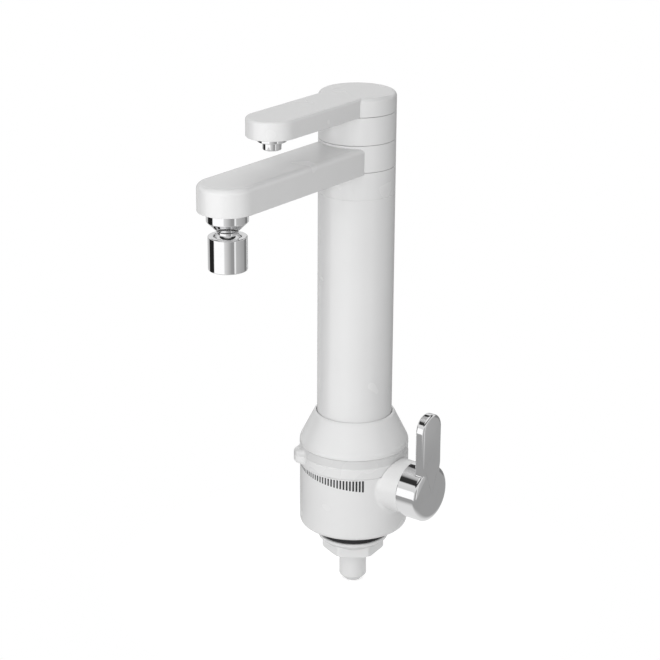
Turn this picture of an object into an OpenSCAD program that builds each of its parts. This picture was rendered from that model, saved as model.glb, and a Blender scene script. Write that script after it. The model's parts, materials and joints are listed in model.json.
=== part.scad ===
// Countertop water purifier tap with two swivel spouts and a quarter-turn diverter lever.
// The origin is on the tap's axis in the plane of the worktop, under the deck seal.
// The spouts point along -Y and the lever stands on +X.

/* [Deck fixing] */
// Outside radius of the inlet stub, over its half-inch pipe thread
stub_r = 10.48; // [9:0.02:12]
// Length of the inlet stub below the worktop plane
stub_len = 40.3; // [32:0.1:60]
// Height and depth of the chamfer on the free end of the stub
stub_chamfer = 4.4; // [1:0.1:5]
// Depth to which the stub is screwed into the body
stub_grip = 12; // [8:0.5:14]
// Depth of the relief groove that ends the stub's thread under the deck nut
relief_d = 0.6; // [0.3:0.1:1.2]
// Radius of the water way through the stub
way_r = 5; // [3:0.1:6]
// Width of the deck nut across its flats
nut_af = 41.6; // [38:0.1:46]
// Height of the deck nut
nut_h = 13.4; // [10:0.1:18]
// Radius of the round flange of the deck nut
nut_flange_r = 26.8; // [24:0.1:30]
// Thickness of the straight rim of that flange
nut_rim_h = 2.6; // [1.5:0.1:4]
// Angle by which the nut happens to be turned
nut_turn = -23; // [-30:1:30]
// Outside radius of the rubber deck seal
seal_r = 26; // [22:0.1:30]
// Thickness of the deck seal
seal_t = 5; // [2:0.1:6]

/* [Body] */
// Outside radius of the lower body
body_r = 41; // [40.5:0.1:44]
// Height of the lower body up to the flow ring
body_h = 51; // [50:0.1:60]
// Height of the narrow foot between the deck seal and the body
foot_h = 4.4; // [2:0.1:8]
// Radius of the foot
foot_r = 25; // [20:0.1:30]
// Radius of the rounded lower edge of the body
body_round = 4; // [1:0.1:8]
// Wall of the neck inside the flow ring
neck_wall = 4.4; // [3:0.1:6]
// Radius of the neck that the flow ring turns on
neck_r = 37.6; // [36:0.1:38.2]
// Thickness of the floor of the body
floor_t = 4; // [3:0.1:6]

/* [Flow ring and collar] */
// Height by which the flow ring stands out from the body
ring_proud = 0.5; // [-0.5:0.1:4]
// Height of the flow ring
ring_h = 15.2; // [13:0.1:20]
// Height by which the tab stays back from the upper and lower face of the ring
tab_inset = 0.9; // [0.3:0.1:2]
// Depth of the shallow groove round the upper half of the ring
ring_cove = 0.35; // [0.1:0.05:0.8]
// Distance by which the finger tab stands out from the ring
tab_out = 5.3; // [4.5:0.1:10.5]
// Width of the finger tab
tab_w = 12; // [8:0.5:18]
// Direction of the finger tab at the closed end of its travel
tab_angle = -128; // [-140:1:-115]
// Angle through which the flow ring turns
ring_travel = 82; // [40:1:84]
// Height by which the collar's foot stands out from the body
collar_proud = 0.3; // [-0.5:0.1:3]
// Height of the collar
collar_h = 25.6; // [23:0.1:40]
// Height of the upright skirt of the collar
collar_skirt = 1.6; // [1:0.1:4]
// Radius of the collar round its mouth
mouth_r = 29.5; // [29.3:0.1:32]

/* [Column and spouts] */
// Outside radius of the column and of the spout hubs
column_r = 28.25; // [28:0.05:28.8]
// Wall of the column tube
column_wall = 2.75; // [2:0.05:3]
// Length of the column that shows above the collar
column_len = 171.5; // [165:0.5:240]
// Height of the fixed ring under the main spout
lower_spacer_h = 20.2; // [10:0.1:40]
// Height of the main spout
main_h = 19.8; // [18.5:0.1:30]
// Half the width of the main spout
main_w = 20.7; // [18:0.1:23]
// Distance from the column's axis to the main outlet
main_reach = 147; // [110:0.5:220]
// Height of the fixed ring under the upper spout
upper_spacer_h = 20.5; // [19:0.1:40]
// Height of the upper spout
upper_h = 13.6; // [13:0.1:20]
// Half the width of the upper spout
upper_w = 17.9; // [14:0.1:21]
// Distance from the column's axis to the upper outlet
upper_reach = 98.7; // [70:0.5:105]
// Radius of the rounded upper edge of the main arm
main_round = 4.6; // [1:0.1:6]
// Radius of the rounded upper edge of the upper arm
upper_round = 2.6; // [1:0.1:4]
// Radius of the rounded upper edge of the top hub
hub_round = 3.6; // [1:0.1:5]
// Radius of the post that both hubs turn on
post_r = 20; // [19:0.1:21]
// Radius of the water way in the main arm
main_way_r = 5; // [3:0.1:6]
// Radius of the water way in the upper arm
upper_way_r = 2.5; // [1.5:0.1:2.7]

/* [Upper outlet] */
// Radius of the outlet nozzle
nozzle_r = 6.6; // [6.4:0.1:9]
// Length of the nozzle below its flange
nozzle_len = 5.5; // [4:0.1:8.5]
// Radius of the nozzle's flange
nozzle_flange_r = 10.3; // [8:0.1:13]
// Thickness of the nozzle's flange
nozzle_flange_h = 5; // [1:0.1:6]

/* [Aerator] */
// Radius of the flared cup of the adapter
cup_r = 14.5; // [12:0.1:17]
// Height of the adapter from its ball to the spout
adapter_h = 24.15; // [21:0.05:28]
// Radius of the narrow neck above the ball
ball_neck_r = 7.5; // [7:0.1:7.6]
// Radius of the ball
ball_r = 9.8; // [9.6:0.1:10]
// Radius of the aerator barrel
barrel_r = 13.55; // [13.4:0.05:16]
// Height of the aerator barrel
barrel_h = 23.7; // [20:0.1:30]
// Height of the barrel above the centre of the ball
barrel_top = 5; // [4.8:0.1:5.4]

/* [Diverter valve and lever] */
// Height of the valve axis above the lower edge of the body
valve_rise = 40.6; // [40:0.1:41]
// Distance by which the valve boss stands out from the body
boss_out = 12.5; // [11:0.1:19]
// Radius of the valve boss
boss_r = 20.3; // [19:0.1:21]
// Radius of the bore for the valve
valve_r = 8.8; // [8.4:0.05:8.9]
// Radius of the spindle
spindle_r = 3.9; // [3:0.05:4.5]
// Radius of the lever's round hub
lever_r = 21.3; // [20:0.1:25]
// Depth of the lever's hub
lever_d = 15.2; // [13:0.1:22]
// Height of the crown on the face of the hub
lever_crown = 3.2; // [0.5:0.1:4]
// Half the width of the paddle
paddle_w = 12; // [8:0.1:15]
// Height of the paddle above the valve axis
paddle_h = 63.5; // [45:0.5:90]
// Thickness of the paddle
paddle_t = 7.8; // [5:0.1:10]

/* [Filter cartridge] */
// Outside radius of the cartridge shell
shell_r = 21.5; // [20.5:0.1:22]
// Wall of the cartridge shell
shell_wall = 1.6; // [1:0.1:2.5]
// Outside radius of the carbon block
block_r = 15; // [12:0.1:15.5]
// Number of folds in the pleated wrap
pleats = 32; // [16:1:40]
// Number of rows of holes along the core tube
core_rows = 6; // [3:1:10]

/* [Clearances] */
// Gap of each visible seam between pieces that turn on each other
seam = 0.3; // [0.2:0.05:0.5]
// Radial clearance of a shaft that turns in its bore
run_fit = 0.08; // [0.05:0.01:0.1]
// Radial clearance of pieces that are screwed or pushed together
slip_fit = 0.1; // [0.05:0.01:0.2]
// Thickness of the O-rings
o_ring_t = 2.4; // [2:0.1:2.6]

/* [Hidden] */
$fn = 96;

// A small overrun that carries a cut clear of the face it starts from
over = 1;

// Relief groove of the stub: how far it shows under the nut and how far it runs up inside it
relief_gap = 0.3;
relief_h = 2;

// What stands out from the body's wall
ring_r = body_r + ring_proud;
tab_reach = ring_r + tab_out;
collar_r = body_r + collar_proud;
boss_x = body_r + boss_out;

// Levels along the tap's axis
body_z = seal_t + foot_h;
ring_z = body_z + body_h;
collar_z = ring_z + ring_h;
column_z = collar_z + collar_h;
lower_spacer_z = column_z + column_len;
main_z = lower_spacer_z + lower_spacer_h;
upper_spacer_z = main_z + main_h;
upper_z = upper_spacer_z + upper_spacer_h;
top_z = upper_z + upper_h;

// Neck of the body, with the pieces that stand in it
neck_rise = 8.4;
neck_top = collar_z + neck_rise;
cavity_r = neck_r - neck_wall;
manifold_h = 8;
manifold_z = neck_top - manifold_h;
column_in_r = column_r - column_wall;
socket_floor = neck_top + 2;
socket_r = shell_r + 0.3;
manifold_rise = 10;
manifold_top = neck_top + manifold_rise;

// Diverter valve, along X
valve_z = body_z + valve_rise;
valve_barrel_r = valve_r + 3.7;
valve_wall_x = 14;
gasket_t = 1.2;
disc_t = 3;
disc_r = valve_r - 0.5;
port_r = 1.9;
port_pcr = 4.6;
side_ports = [-port_pcr, port_pcr];
fixed_x = valve_wall_x + gasket_t;
moving_x = fixed_x + disc_t;
driver_x = moving_x + disc_t;
driver_t = 3.8;
sleeve_x = driver_x + 0.2;
flange_x = body_r + 2.5;
counterbore_r = 14;
sleeve_flange_t = 4;
gland_x = flange_x + sleeve_flange_t;
gland_t = 4.6;
lever_x = boss_x + seam;
lever_face_x = lever_x + lever_d;
spindle_end_x = lever_face_x - 4;
lever_screw_x = lever_x + lever_d * 0.45;

// Ways up from the valve: the bypass rises near the axis, the filtered way farther out
riser_r = way_r - 1;
up_x = 6.5;
bypass_nipple_r = 4.4;
filter_nipple_r = 6.2;
filter_y = 17.2;
filter_pcr = norm([up_x, filter_y]);
filter_angle = atan2(filter_y, up_x);
throttle_max_r = 3.5;
valve_top = valve_z + valve_barrel_r;

// Flow plate in the cavity and the pin that turns it
plate_t = 3;
plate_z = valve_top + (manifold_z - valve_top) / 2 - plate_t / 2;
plate_r = cavity_r - 0.4;
plate_gap = 0.3;
pin_r = 1.3;
pin_z = plate_z + plate_t / 2;
pin_in = plate_r - 6;
pin_out = neck_r + 1.9;
plate_hole_r = norm([up_x, port_pcr]) + bypass_nipple_r + 0.4;
throttle_steps = 12;
throttle_min_r = 1.2;

// Swivel post
post_foot_z = lower_spacer_z - 16;
post_plug_r = column_in_r - slip_fit;
main_way_z = main_z + main_h / 2;
retain_z = upper_z + 2.3;
retain_h = 3;
upper_o_ring_t = 1.8;
upper_o_ring_z = upper_z + 5.3;
upper_groove_z = upper_z + 6.8;
upper_groove_h = 2.2;
post_top = upper_groove_z + upper_groove_h + 0.8;
hub_ceiling = post_top + 0.4;
spout_screw_r = 1.2;
upper_way_z = upper_groove_z + upper_groove_h / 2;
post_way_r = 6;
bypass_pcr = 14.4;
bypass_r = 2.2;
hub_bore_r = post_r + run_fit;
o_ring_floor = post_r - o_ring_t - 0.1;

// Filter cartridge, on the manifold and under the post
shell_z = socket_floor + 6;
shell_top = post_foot_z - 8;
spigot_r = 8.6;
core_r = 5.4;
core_wall = 1.2;

// Outlets
ball_z = main_z + seam / 2 - adapter_h;
cup_rim_h = 5.2;
cup_cone_h = 8.3;
adapter_thread_r = 10.4;
adapter_thread_h = 8;
adapter_way_r = 4.4;
adapter_washer_t = 1;
seat_r = barrel_r - 2.05;
barrel_bore_r = seat_r + 0.3;
barrel_z = ball_z + barrel_top - barrel_h;
barrel_lip = 1.2;
ball_gap = 0.1;
nozzle_thread_r = 6;
nozzle_thread_h = 3.4;
nozzle_way_r = 4;

// Turned solid: a closed outline of [radius, height] points round the Z axis
module turned(points) rotate_extrude() polygon(points);

// Cylinder along X that starts at x
module x_cylinder(r, x, length) translate([x, 0, 0]) rotate([0, 90, 0]) cylinder(r = r, h = length);

// Plain ring
module ring(r_out, r_in, z, h) translate([0, 0, z]) difference() {
    cylinder(r = r_out, h = h);
    translate([0, 0, -over]) cylinder(r = r_in, h = h + 2 * over);
}

// O-ring that lies round the axis with its outside at radius r
module o_ring(r, z, t = o_ring_t) translate([0, 0, z]) rotate_extrude()
    translate([r - t / 2, 0]) circle(d = t, $fn = 32);

// Half outline of a bar with a rounded upper edge and a small rounded lower edge
module bar_half(w, h, r, low = 0.8) union() {
    translate([0, low]) square([w, h - r - low]);
    square([w - r, h]);
    square([w - low, h - r]);
    translate([w - r, h - r]) circle(r = r, $fn = 64);
    translate([w - low, low]) circle(r = low, $fn = 32);
}

// Flat spout arm along -Y with a round end
module arm(w, h, reach, r) {
    rotate([90, 0, 0]) linear_extrude(height = reach) union() {
        bar_half(w, h, r);
        mirror([1, 0]) bar_half(w, h, r);
    }
    translate([0, -reach, 0]) rotate_extrude() intersection() {
        bar_half(w, h, r);
        square([w, h]);
    }
}

// Wedge of angle a0 to a1, used to cut or keep part of a ring
module sector(a0, a1, z, h, r = 60) {
    steps = ceil((a1 - a0) / 30);
    translate([0, 0, z]) linear_extrude(height = h)
        polygon(concat([[0, 0]], [for (i = [0 : steps]) let (a = a0 + (a1 - a0) * i / steps)
            r * [cos(a), sin(a)]]));
}

// Hollow set screw with a hexagon socket, pointing along -Z from z
module set_screw(r, length) difference() {
    union() {
        translate([0, 0, -length + 1]) cylinder(r = r, h = length - 1);
        translate([0, 0, -length]) cylinder(r1 = r - 0.6, r2 = r, h = 1);
    }
    translate([0, 0, -r]) cylinder(r = r * 0.55, h = r + over, $fn = 6);
}

// Threaded inlet stub, with a chamfered free end and the water way through it
module inlet_stub() color("whitesmoke") turned([
    [way_r, -stub_len], [stub_r - stub_chamfer, -stub_len], [stub_r, -stub_len + stub_chamfer],
    [stub_r, -nut_h - relief_gap], [stub_r - relief_d, -nut_h - relief_gap],
    [stub_r - relief_d, -nut_h + relief_h], [stub_r, -nut_h + relief_h + relief_d],
    [stub_r, seal_t + stub_grip - 1], [stub_r - 1, seal_t + stub_grip], [way_r, seal_t + stub_grip]
]);

// Hexagon nut with a round flange that tapers to the corners of the hexagon
module deck_nut() color("whitesmoke") {
    corner_r = nut_af / sqrt(3);
    taper_h = nut_flange_r - corner_r;
    difference() {
        union() {
            translate([0, 0, -nut_rim_h]) cylinder(r = nut_flange_r, h = nut_rim_h);
            translate([0, 0, -nut_rim_h - taper_h])
                cylinder(r1 = corner_r - 0.5, r2 = nut_flange_r, h = taper_h);
            rotate(nut_turn) translate([0, 0, -nut_h])
                cylinder(r = corner_r, h = nut_h - nut_rim_h, $fn = 6);
        }
        translate([0, 0, -nut_h - over]) cylinder(r = stub_r + slip_fit, h = nut_h + 2 * over);
        translate([0, 0, -nut_h - 0.01]) cylinder(r1 = stub_r + 1.2, r2 = stub_r, h = 1.2);
    }
}

// Rubber seal between the foot of the body and the worktop
module deck_seal() color("#151515") turned([
    [stub_r + 0.3, 0], [seal_r - 0.8, 0], [seal_r, 0.8], [seal_r, seal_t - 0.8], [seal_r - 0.8, seal_t],
    [stub_r + 0.3, seal_t]
]);

// Outside of the lower body, up to the top of its neck
module body_outside() {
    rotate_extrude() difference() {
        union() {
            translate([0, seal_t]) square([foot_r, foot_h + over]);
            translate([0, body_z]) square([body_r, body_h - seam]);
            translate([0, ring_z - over]) square([neck_r, neck_top - ring_z + over]);
        }
        translate([body_r - body_round, body_z]) difference() {
            square(body_round + over);
            translate([0, body_round]) circle(r = body_round, $fn = 64);
            translate([0, body_round]) square(body_round + 2 * over);
        }
    }
}

// Boss that carries the valve, cut clear of the turning flow ring and its tab
module valve_boss() difference() {
    translate([0, 0, valve_z]) x_cylinder(boss_r, cavity_r + 1, boss_x - cavity_r - 1);
    translate([0, 0, ring_z - seam]) cylinder(r = ring_r + 0.5, h = boss_r + ring_h);
}

// Pillar over the inlet, cross barrel of the valve and the nipples of both ways
module body_core() {
    cylinder(r = stub_r + 4, h = valve_z);
    translate([0, 0, valve_z]) x_cylinder(valve_barrel_r, -12, cavity_r + 14);
    translate([up_x, -port_pcr, valve_z]) cylinder(r = bypass_nipple_r, h = manifold_z - valve_z);
    translate([up_x, filter_y, valve_z - filter_nipple_r])
        cylinder(r = filter_nipple_r, h = plate_z - plate_gap - valve_z + filter_nipple_r);
    translate([up_x, 0, valve_z]) rotate([-90, 0, 0]) cylinder(r = filter_nipple_r, h = filter_y);
}

// Lower body: floor, wall and neck in one moulding, with the valve barrel across it
module lower_body() color("whitesmoke") difference() {
    union() {
        difference() {
            body_outside();
            translate([0, 0, body_z + floor_t]) cylinder(r = cavity_r, h = neck_top);
        }
        intersection() {
            translate([0, 0, body_z + over]) cylinder(r = cavity_r + 1, h = neck_top);
            body_core();
        }
        valve_boss();
    }
    // seat of the stub and the riser to the middle port of the valve
    translate([0, 0, seal_t - over]) cylinder(r = stub_r + slip_fit, h = stub_grip + over);
    cylinder(r = riser_r, h = valve_z);
    translate([0, 0, valve_z]) {
        x_cylinder(valve_r, valve_wall_x, boss_x);
        x_cylinder(counterbore_r, flange_x, boss_x);
        x_cylinder(port_r, 0, valve_wall_x + over);
        for (y = side_ports) translate([0, y, 0]) x_cylinder(port_r, up_x, valve_wall_x - up_x + over);
        // bypass straight up, filtered way along the side pipe and up its nipple
        translate([up_x, -port_pcr, 0]) cylinder(r = port_r, h = neck_top);
        translate([up_x, port_pcr, 0]) rotate([-90, 0, 0]) cylinder(r = port_r, h = filter_y - port_pcr);
        translate([up_x, filter_y, 0]) cylinder(r = throttle_max_r, h = neck_top);
    }
    // window for the drive pin, as long as the travel of the ring
    intersection() {
        ring(neck_r + over, cavity_r - over, pin_z - pin_r - 0.4, 2 * pin_r + 0.8);
        sector(tab_angle - 4, tab_angle + ring_travel + 4, ring_z, ring_h);
    }
}

// Profile of the flow ring, with a shallow cove round its upper half
module ring_profile() difference() {
    union() {
        translate([neck_r + run_fit, ring_z]) square([ring_r - neck_r - run_fit - 0.4, ring_h - seam]);
        translate([neck_r + run_fit, ring_z + 0.4])
            square([ring_r - neck_r - run_fit, ring_h - seam - 0.8]);
    }
    translate([ring_r + cove_r() - ring_cove, ring_z + ring_h * 0.76 - seam / 2])
        circle(r = cove_r(), $fn = 180);
}

// Radius of a cove as tall as two fifths of the ring
function cove_r() = (pow(ring_h * 0.22, 2) + pow(ring_cove, 2)) / (2 * ring_cove);

// Flow ring with its finger tab and the groove that takes the drive pin
module flow_ring() color("gainsboro") difference() {
    union() {
        rotate_extrude() ring_profile();
        rotate(tab_angle) tab();
    }
    rotate(tab_angle) translate([neck_r - over, -pin_r - slip_fit, ring_z - over])
        cube([over + 2.2, 2 * (pin_r + slip_fit), pin_z + pin_r + slip_fit - ring_z + over]);
}

// Finger tab: a rounded upright block, a little lower than the ring
module tab() {
    h = ring_h - seam - 2 * tab_inset;
    z = ring_z + tab_inset;
    r = min(h, tab_reach - ring_r + 3) * 0.42;
    intersection() {
        translate([0, tab_w / 2, z]) rotate([90, 0, 0]) linear_extrude(height = tab_w) union() {
            translate([neck_r + 1, 0]) square([tab_reach - r - neck_r - 1, h]);
            translate([neck_r + 1, r]) square([tab_reach - neck_r - 1, h - 2 * r]);
            for (y = [r, h - r]) translate([tab_reach - r, y]) circle(r = r, $fn = 64);
        }
        union() {
            translate([0, 0, z - over]) linear_extrude(height = h + 2 * over) union() {
                translate([0, -tab_w / 2]) square([tab_reach - tab_w / 3, tab_w]);
                translate([0, -tab_w / 6]) square([tab_reach, tab_w / 3]);
                for (s = [-1, 1]) translate([tab_reach - tab_w / 3, s * tab_w / 6])
                    circle(r = tab_w / 3, $fn = 64);
            }
        }
    }
}

// Pin that joins the ring to the flow plate through the window in the neck
module drive_pin() color("silver") rotate(tab_angle) translate([0, 0, pin_z])
    x_cylinder(pin_r, pin_in, pin_out - pin_in);

// Throttle plate: its slot of growing bores passes over the filtered way as the ring turns
module flow_plate() color("lightgray") difference() {
    ring(plate_r, plate_hole_r, plate_z, plate_t);
    for (i = [0 : throttle_steps])
        rotate(filter_angle - ring_travel * i / throttle_steps)
            translate([filter_pcr, 0, plate_z - over])
                cylinder(r = throttle_min_r + (throttle_max_r - throttle_min_r) * i / throttle_steps,
                    h = plate_t + 2 * over, $fn = 48);
    rotate(tab_angle) translate([0, 0, pin_z]) x_cylinder(pin_r + slip_fit, pin_in - 0.2, plate_r);
}

// Manifold: the filtered way opens under the cartridge, the bypass turns out round it
module manifold() color("lightgray") difference() {
    union() {
        translate([0, 0, manifold_z]) cylinder(r = cavity_r - slip_fit, h = manifold_h);
        translate([0, 0, neck_top]) cylinder(r = column_in_r - slip_fit, h = manifold_top - neck_top);
        translate([up_x, filter_y, plate_z + plate_t + plate_gap])
            cylinder(r = filter_nipple_r, h = manifold_z - plate_z - plate_t);
    }
    translate([0, 0, socket_floor]) cylinder(r = socket_r, h = manifold_top);
    translate([up_x, -port_pcr, valve_z]) cylinder(r = port_r, h = manifold_z + manifold_h / 2 - valve_z);
    translate([up_x, filter_y, 0]) cylinder(r = 2.4, h = manifold_top);
    // bypass: a round chamber, then ways that turn outwards and rise beside the cartridge
    translate([0, 0, manifold_z + manifold_h / 2 - 1.2]) cylinder(r = 11, h = 2.4);
    for (a = [0 : 45 : 315]) rotate(a) {
        translate([0, 0, manifold_z + manifold_h / 2]) x_cylinder(1.1, 9, socket_r + 2.8 - 9, $fn = 32);
        translate([socket_r + 1.8, 0, manifold_z + manifold_h / 2])
            cylinder(r = 1.1, h = manifold_top, $fn = 32);
    }
    // groove of the manifold's seal
    translate([0, 0, manifold_z + manifold_h / 2]) difference() {
        translate([0, 0, -o_ring_t / 2 - 0.1]) cylinder(r = cavity_r + over, h = o_ring_t + 0.2);
        translate([0, 0, -o_ring_t]) cylinder(r = cavity_r - o_ring_t - 0.15, h = 2 * o_ring_t);
    }
}

module manifold_o_ring() color("#1c1c1c") o_ring(cavity_r - 0.06, manifold_z + manifold_h / 2);

// Seal on the manifold under the foot of the column
module column_o_ring() color("#1c1c1c") o_ring(column_r + 0.05 + o_ring_t, neck_top + o_ring_t / 2 + 0.02);

// Conical collar that the column stands in
module collar() color("whitesmoke") {
    shoulder_r = 6;
    bore = column_r + 0.3;
    mouth_in = column_r + 0.6;
    difference() {
        turned(concat(
            [[bore, collar_z], [collar_r, collar_z]],
            [for (a = [0 : 5 : 25])
                [collar_r - shoulder_r * (1 - cos(a)), collar_z + collar_skirt + shoulder_r * sin(a)]],
            [[mouth_r + 1.2, column_z - 1.2], [mouth_r + 0.4, column_z - 0.35], [mouth_r, column_z]],
            [[mouth_in, column_z], [mouth_in, column_z - 2.4], [bore, column_z - 2.8]]
        ));
        translate([0, 0, collar_z - over]) cylinder(r = neck_r + slip_fit, h = neck_top - collar_z + over);
        translate([0, 0, neck_top - 0.01]) cylinder(r = column_r + o_ring_t + 0.3, h = o_ring_t + 0.2);
    }
}

// Column tube, which stands on the manifold inside the collar
module column_tube() color("whitesmoke") ring(column_r, column_in_r, neck_top, lower_spacer_z - neck_top);

// Foot of the cartridge, with its inlet holes
module cartridge_foot() color("white") difference() {
    union() {
        translate([0, 0, socket_floor]) cylinder(r = shell_r, h = shell_z - socket_floor);
        translate([0, 0, shell_z]) cylinder(r = core_r - core_wall - slip_fit, h = 4);
    }
    for (a = [0 : 45 : 315]) rotate(a) translate([block_r + 2.4, 0, socket_floor - over])
        cylinder(r = 1.4, h = shell_z, $fn = 32);
    translate([0, 0, socket_floor + 2.4]) difference() {
        cylinder(r = shell_r + over, h = 2.6);
        translate([0, 0, -over]) cylinder(r = shell_r - 2, h = 2.6 + 2 * over);
    }
    // chamber that spreads the water under the foot
    translate([0, 0, socket_floor - over]) cylinder(r = shell_r - 2, h = over + 1.2);
}

module cartridge_shell() color("white") ring(shell_r, shell_r - shell_wall, shell_z, shell_top - shell_z);

// Head of the cartridge: closes the shell and carries the spigot into the post
module cartridge_head() color("white") difference() {
    union() {
        translate([0, 0, shell_top]) cylinder(r = shell_r, h = 3);
        translate([0, 0, shell_top + 3]) cylinder(r = spigot_r, h = post_foot_z + 8 - shell_top - 3);
        translate([0, 0, shell_top - 5]) cylinder(r = shell_r - shell_wall - slip_fit, h = 5);
    }
    translate([0, 0, shell_top - 6]) cylinder(r = core_r + slip_fit, h = 4);
    cylinder(r = core_r - core_wall, h = post_foot_z + 9);
    translate([0, 0, post_foot_z + 4]) difference() {
        cylinder(r = spigot_r + over, h = 2.1);
        translate([0, 0, -over]) cylinder(r = spigot_r - 1.5, h = 2.1 + 2 * over);
    }
}

module carbon_block() color("#2b2b2b")
    ring(block_r, core_r + 0.15, shell_z + 0.1, shell_top - shell_z - 5.2);

// Corners of a star with one point for each fold
function star(r_out, r_in) = [for (i = [0 : 2 * pleats - 1])
    (i % 2 == 0 ? r_out : r_in) * [cos(180 * i / pleats), sin(180 * i / pleats)]];

// Pleated wrap: a folded strip whose inner folds rest on the carbon block
module pleated_wrap() color("ivory") {
    outer = shell_r - shell_wall - 0.1;
    inner = block_r + 0.9;
    fold = 0.7;
    translate([0, 0, shell_z + 0.1]) linear_extrude(height = shell_top - shell_z - 5.2) difference() {
        polygon(star(outer, inner));
        polygon(star(outer - fold * 1.6, inner - fold));
    }
}

// Perforated core tube of the cartridge
module core_tube() color("white") {
    length = shell_top - shell_z - 2.4;
    difference() {
        ring(core_r, core_r - core_wall, shell_z + 0.1, length);
        for (i = [0 : core_rows - 1], a = [0, 90])
            translate([0, 0, shell_z + (i + 0.5) * (length - 6) / core_rows + 3])
                rotate([0, 0, a + 45 * (i % 2)])
                x_cylinder(1.4, -core_r - over, 2 * core_r + 2 * over, $fn = 32);
    }
}

module cartridge_o_rings() color("#1c1c1c") {
    o_ring(socket_r - 0.05, socket_floor + 3.7, 2.1);
    o_ring(spigot_r + 0.3, post_foot_z + 5.05, 1.7);
}

// Post that both hubs turn on, with the ports for both ways
module swivel_post() color("gainsboro") difference() {
    union() {
        translate([0, 0, post_foot_z]) cylinder(r = post_plug_r, h = lower_spacer_z - post_foot_z);
        translate([0, 0, lower_spacer_z]) cylinder(r = post_r, h = post_top - lower_spacer_z);
    }
    translate([0, 0, post_foot_z - over]) cylinder(r = spigot_r + 0.35, h = 10 + over);
    translate([0, 0, post_foot_z]) cylinder(r = post_way_r, h = upper_way_z + 0.8 - post_foot_z);
    for (a = [0 : 60 : 300]) rotate(a) translate([bypass_pcr, 0, post_foot_z - over])
        cylinder(r = bypass_r, h = main_way_z - post_foot_z + over, $fn = 32);
    // ring-shaped ways of the main and of the upper spout
    groove(main_way_z - main_way_r, 2 * main_way_r, bypass_pcr + bypass_r - 0.6);
    groove(upper_groove_z, upper_groove_h, post_r - 3);
    translate([0, 0, upper_way_z]) for (a = [0, 90]) rotate(a) x_cylinder(1, -post_r, 2 * post_r, $fn = 32);
    // grooves of the seals and of the screw that keeps the upper hub down
    for (i = [0, 1]) groove(main_o_ring_z(i) - o_ring_t / 2 - 0.1, o_ring_t + 0.2, o_ring_floor);
    groove(upper_o_ring_z - upper_o_ring_t / 2 - 0.1, upper_o_ring_t + 0.2, post_r - upper_o_ring_t - 0.1);
    groove(retain_z - retain_h / 2, retain_h, post_r - 2.4);
    translate([0, 0, post_o_ring_z()]) difference() {
        translate([0, 0, -o_ring_t / 2 - 0.1]) cylinder(r = post_plug_r + over, h = o_ring_t + 0.2);
        translate([0, 0, -o_ring_t]) cylinder(r = post_plug_r - o_ring_t - 0.1, h = 2 * o_ring_t);
    }
}

// Groove round the post down to radius r
module groove(z, h, r) ring(post_r + over, r, z, h);

// Levels of the seals on the post
function main_o_ring_z(i) = main_z + (i == 0 ? 2.4 : main_h - 2.4);
function post_o_ring_z() = lower_spacer_z - 4;

module post_o_ring() color("#1c1c1c") o_ring(column_in_r - 0.06, post_o_ring_z());

// Fixed rings between the column and the hubs
module lower_spacer() color("whitesmoke")
    ring(column_r, post_r + slip_fit, lower_spacer_z, lower_spacer_h - seam / 2);
module upper_spacer() color("whitesmoke")
    ring(column_r, post_r + slip_fit, upper_spacer_z + seam / 2, upper_spacer_h - seam);

module main_o_rings() color("#1c1c1c") for (i = [0, 1]) o_ring(post_r - 0.05, main_o_ring_z(i));
module upper_o_ring() color("#1c1c1c") o_ring(post_r - 0.05, upper_o_ring_z, upper_o_ring_t);

// Main spout: round hub, flat arm and the way to its threaded outlet
module main_spout() color("whitesmoke") {
    z = main_z + seam / 2;
    h = main_h - seam;
    difference() {
        union() {
            translate([0, 0, z]) cylinder(r = column_r, h = h);
            translate([0, 0, z]) arm(main_w, h, main_reach, main_round);
        }
        translate([0, 0, z - over]) cylinder(r = hub_bore_r, h = h + 2 * over);
        translate([0, 0, main_way_z]) rotate([90, 0, 0]) cylinder(r = main_way_r, h = main_reach);
        translate([0, -main_reach, z - over])
            cylinder(r = adapter_thread_r + slip_fit, h = adapter_thread_h + over + 0.02);
        translate([0, -main_reach, z]) cylinder(r = main_way_r, h = main_way_z - z + main_way_r * 0.6);
    }
}

// Upper spout: closed hub with a rounded top, flat arm and the way to the nozzle
module upper_spout() color("whitesmoke") {
    z = upper_z + seam / 2;
    h = upper_h - seam / 2;
    difference() {
        union() {
            translate([0, 0, z]) rotate_extrude() intersection() {
                bar_half(column_r, h, hub_round, 0.2);
                square([column_r, h]);
            }
            translate([0, 0, z]) arm(upper_w, h, upper_reach, upper_round);
        }
        translate([0, 0, z - over]) cylinder(r = hub_bore_r, h = hub_ceiling - z + over);
        translate([0, 0, upper_way_z]) rotate([90, 0, 0]) cylinder(r = upper_way_r, h = upper_reach);
        translate([0, -upper_reach, z - over])
            cylinder(r = nozzle_thread_r + slip_fit, h = nozzle_thread_h + over + 0.2);
        translate([0, -upper_reach, z]) cylinder(r = upper_way_r, h = upper_way_z - z);
        // hole for the screw that keeps the hub on the post
        translate([0, hub_bore_r - over, retain_z]) rotate([-90, 0, 0])
            cylinder(r = spout_screw_r + slip_fit, h = column_r, $fn = 48);
    }
}

// Screw at the back of the upper hub, whose tip runs in the groove of the post
module spout_screw() color("silver")
    translate([0, column_r - 1.2, retain_z]) rotate([-90, 0, 0])
        set_screw(spout_screw_r, column_r - post_r + 0.4);

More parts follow.
